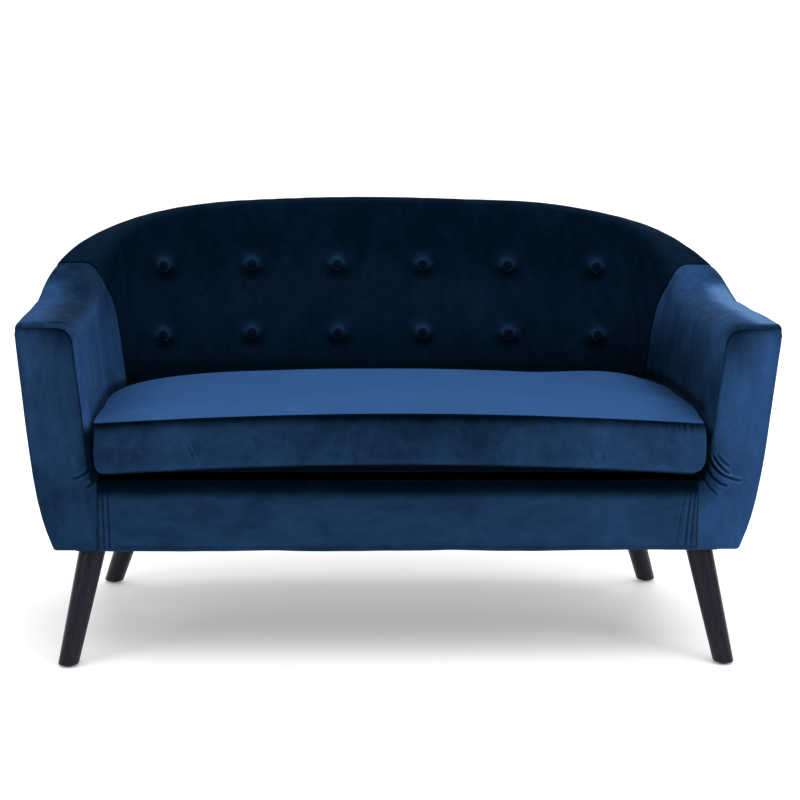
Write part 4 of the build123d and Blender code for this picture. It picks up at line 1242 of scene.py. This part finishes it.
# %% Other finishes
def finish(name, colours, size, stretch, rough, bump, **sockets):
    """A finish between two colours, with a grain of the given size."""
    material, tree, shader = nodes_of(name)
    grain = noise(tree, size, 6, stretch, 0.4)
    shade = ramp(tree, grain, ((0.3, colours[0]), (0.7, colours[1])))
    feed(tree, shader, Base_Color=shade, Roughness=spread(tree, grain, *rough), **sockets)
    bumped(tree, shader, ((grain, bump, 0.0006),))
    return material


EVEN = (1, 1, 1)
BLACKS = ((0.004, 0.004, 0.0085), (0.011, 0.0105, 0.018))
TIMBERS = ((0.32, 0.2, 0.1), (0.52, 0.36, 0.2))
LININGS = ((0.0006, 0.0006, 0.001), (0.002, 0.002, 0.0025))
ZINCS = ((0.42, 0.42, 0.43), (0.56, 0.56, 0.57))
finishes = {
    "black_wood": finish("black_lacquer", BLACKS, 0.005, (1, 1, 0.06), (0.26, 0.4), 0.15, Specular_IOR_Level=0.15),
    "frame_timber": finish("bare_timber", TIMBERS, 0.012, (0.15, 1, 1), (0.55, 0.75), 0.2),
    "foam": finish("foam", ((0.62, 0.56, 0.4), (0.72, 0.67, 0.5)), 0.002, EVEN, (0.9, 1.0), 0.5),
    "felt": finish("felt", ((0.2, 0.2, 0.2), (0.32, 0.31, 0.3)), 0.003, EVEN, (0.9, 1.0), 0.6),
    "lining_cloth": finish("lining", LININGS, 0.0015, EVEN, (0.8, 0.95), 0.5, Specular_IOR_Level=0.02),
    "webbing": finish("webbing", ((0.12, 0.07, 0.035), (0.2, 0.13, 0.07)), 0.002, (1, 0.2, 1), (0.7, 0.9), 0.6),
    "twine": finish("twine", ((0.36, 0.29, 0.19), (0.5, 0.42, 0.3)), 0.0012, EVEN, (0.6, 0.8), 0.5),
    "steel": finish("zinc_steel", ZINCS, 0.004, EVEN, (0.3, 0.45), 0.1, Metallic=1.0),
    "glide_plastic": finish("glide_plastic", ((0.1, 0.1, 0.1), (0.16, 0.16, 0.16)), 0.003, EVEN, (0.35, 0.5), 0.1),
}
print("finishes", sorted(finishes))

# %% [markdown]
# ## Dressing the frame
# Each new piece is tied to the body that it moves with, hides the solids it stands for, and takes its finish. All
# other solids keep their shape and get the finish of their slot.

# %% Put the pieces on
def dress(piece, body, slot, material, *solids):
    piece.data.materials.clear()
    piece.data.materials.append(material)
    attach(piece, body)
    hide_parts(*solids)


dress(inside_back, "sofa", "velvet", velvets["back"], "inside_back_cover", "back_foam")
for word in ("right", "left"):
    dress(arm_pads[word], "sofa", "velvet", velvets["arm"], f"{word}_inside_arm_cover", f"{word}_arm_foam")
    dress(facings[word], "sofa", "velvet", velvets["facing"], f"{word}_arm_facing")
    panel = outside_panels[f"{word}_outside_arm"]
    dress(panel, "sofa", "velvet", velvets["outside"], f"{word}_outside_arm_panel")
dress(outside_panels["outside_back"], "sofa", "velvet", velvets["outside"], "outside_back_panel")
dress(border, "sofa", "velvet", velvets["border"], "front_border")
dress(cushion, "seat_cushion", "velvet", velvets["cushion"], "seat_cushion_cover", "seat_cushion_foam")
dress(tuft_buttons, "sofa", "velvet", velvets["button"], "tuft_buttons")
dress(deck, "sofa", "lining_cloth", finishes["lining_cloth"], "deck_cloth")
dress(dust, "sofa", "lining_cloth", finishes["lining_cloth"], "dust_cover")
for word, leg in legs.items():
    dress(leg, "sofa", "black_wood", finishes["black_wood"], word)

slots = {row["node"]: row["material_slot"] for row in frame["record"]["subparts"]}
for name, node in frame["nodes"].items():
    if not node.hide_render:
        node.data.materials.clear()
        node.data.materials.append(finishes[slots[name]])
print("solids still shown", sum(not node.hide_render for node in frame["nodes"].values()))

# %% [markdown]
# ## Floor and light
# A white floor that runs out of sight, bright air all round as in a white studio, and broad soft lights from above,
# from both front corners and from behind.

# %% Floor
bpy.ops.object.select_all(action="DESELECT")
bpy.ops.mesh.primitive_plane_add(size=60, location=(0, 10, 0))
floor = bpy.context.object
floor.name = "studio_floor"
floor_paint, tree, shader = nodes_of("floor_paint")
whites = ((0.3, (0.93, 0.93, 0.94)), (0.7, (0.96, 0.96, 0.96)))
feed(tree, shader, Base_Color=ramp(tree, noise(tree, 0.8, 3), whites), Roughness=0.7)
# A faint glow over the whole floor: painted light that lifts the shadow under the sofa.
feed(tree, shader, Emission_Color=(1, 1, 1, 1), Emission_Strength=0.2)
floor.data.materials.append(floor_paint)
print("floor laid")


# %% Lights
def softbox(name, place, target, size, power):
    bpy.ops.object.light_add(type="AREA", location=place)
    light = bpy.context.object
    light.name = name
    light.data.shape = "RECTANGLE"
    light.data.size, light.data.size_y = size
    light.data.energy = power
    light.rotation_euler = (Vector(target) - Vector(place)).to_track_quat("-Z", "Y").to_euler()


def overhead(power, spread, lean):
    """A broad even light from above, as from a ceiling of soft light."""
    bpy.ops.object.light_add(type="SUN", location=(0, 0, 3))
    light = bpy.context.object
    light.name = "ceiling_light"
    light.data.energy = power
    light.data.angle = math.radians(spread)
    light.rotation_euler = Vector(lean).to_track_quat("-Z", "Y").to_euler()


overhead(2.0, 70, (-0.12, 0.2, -1))
softbox("right_light", (2.6, -2.8, 1.9), (0, 0, 0.4), (1.4, 1.6), 26)
softbox("left_light", (-2.8, -2.4, 1.7), (0, 0, 0.4), (1.4, 1.6), 18)
softbox("rear_light", (0.5, 3.4, 1.9), (0, 0, 0.4), (2.4, 1.4), 30)
world = bpy.data.worlds.new("studio")
bpy.context.scene.world = world
world.use_nodes = True
air = world.node_tree
seen = add(air, "LightPath").outputs["Is Camera Ray"]
strength = add(air, "MapRange", Value=seen, To_Min=0.58, To_Max=1.06).outputs["Result"]
feed(air, air.nodes["Background"], Strength=strength, Color=(1, 1, 1, 1))
bpy.context.scene.view_settings.view_transform = "Standard"
print("lit")
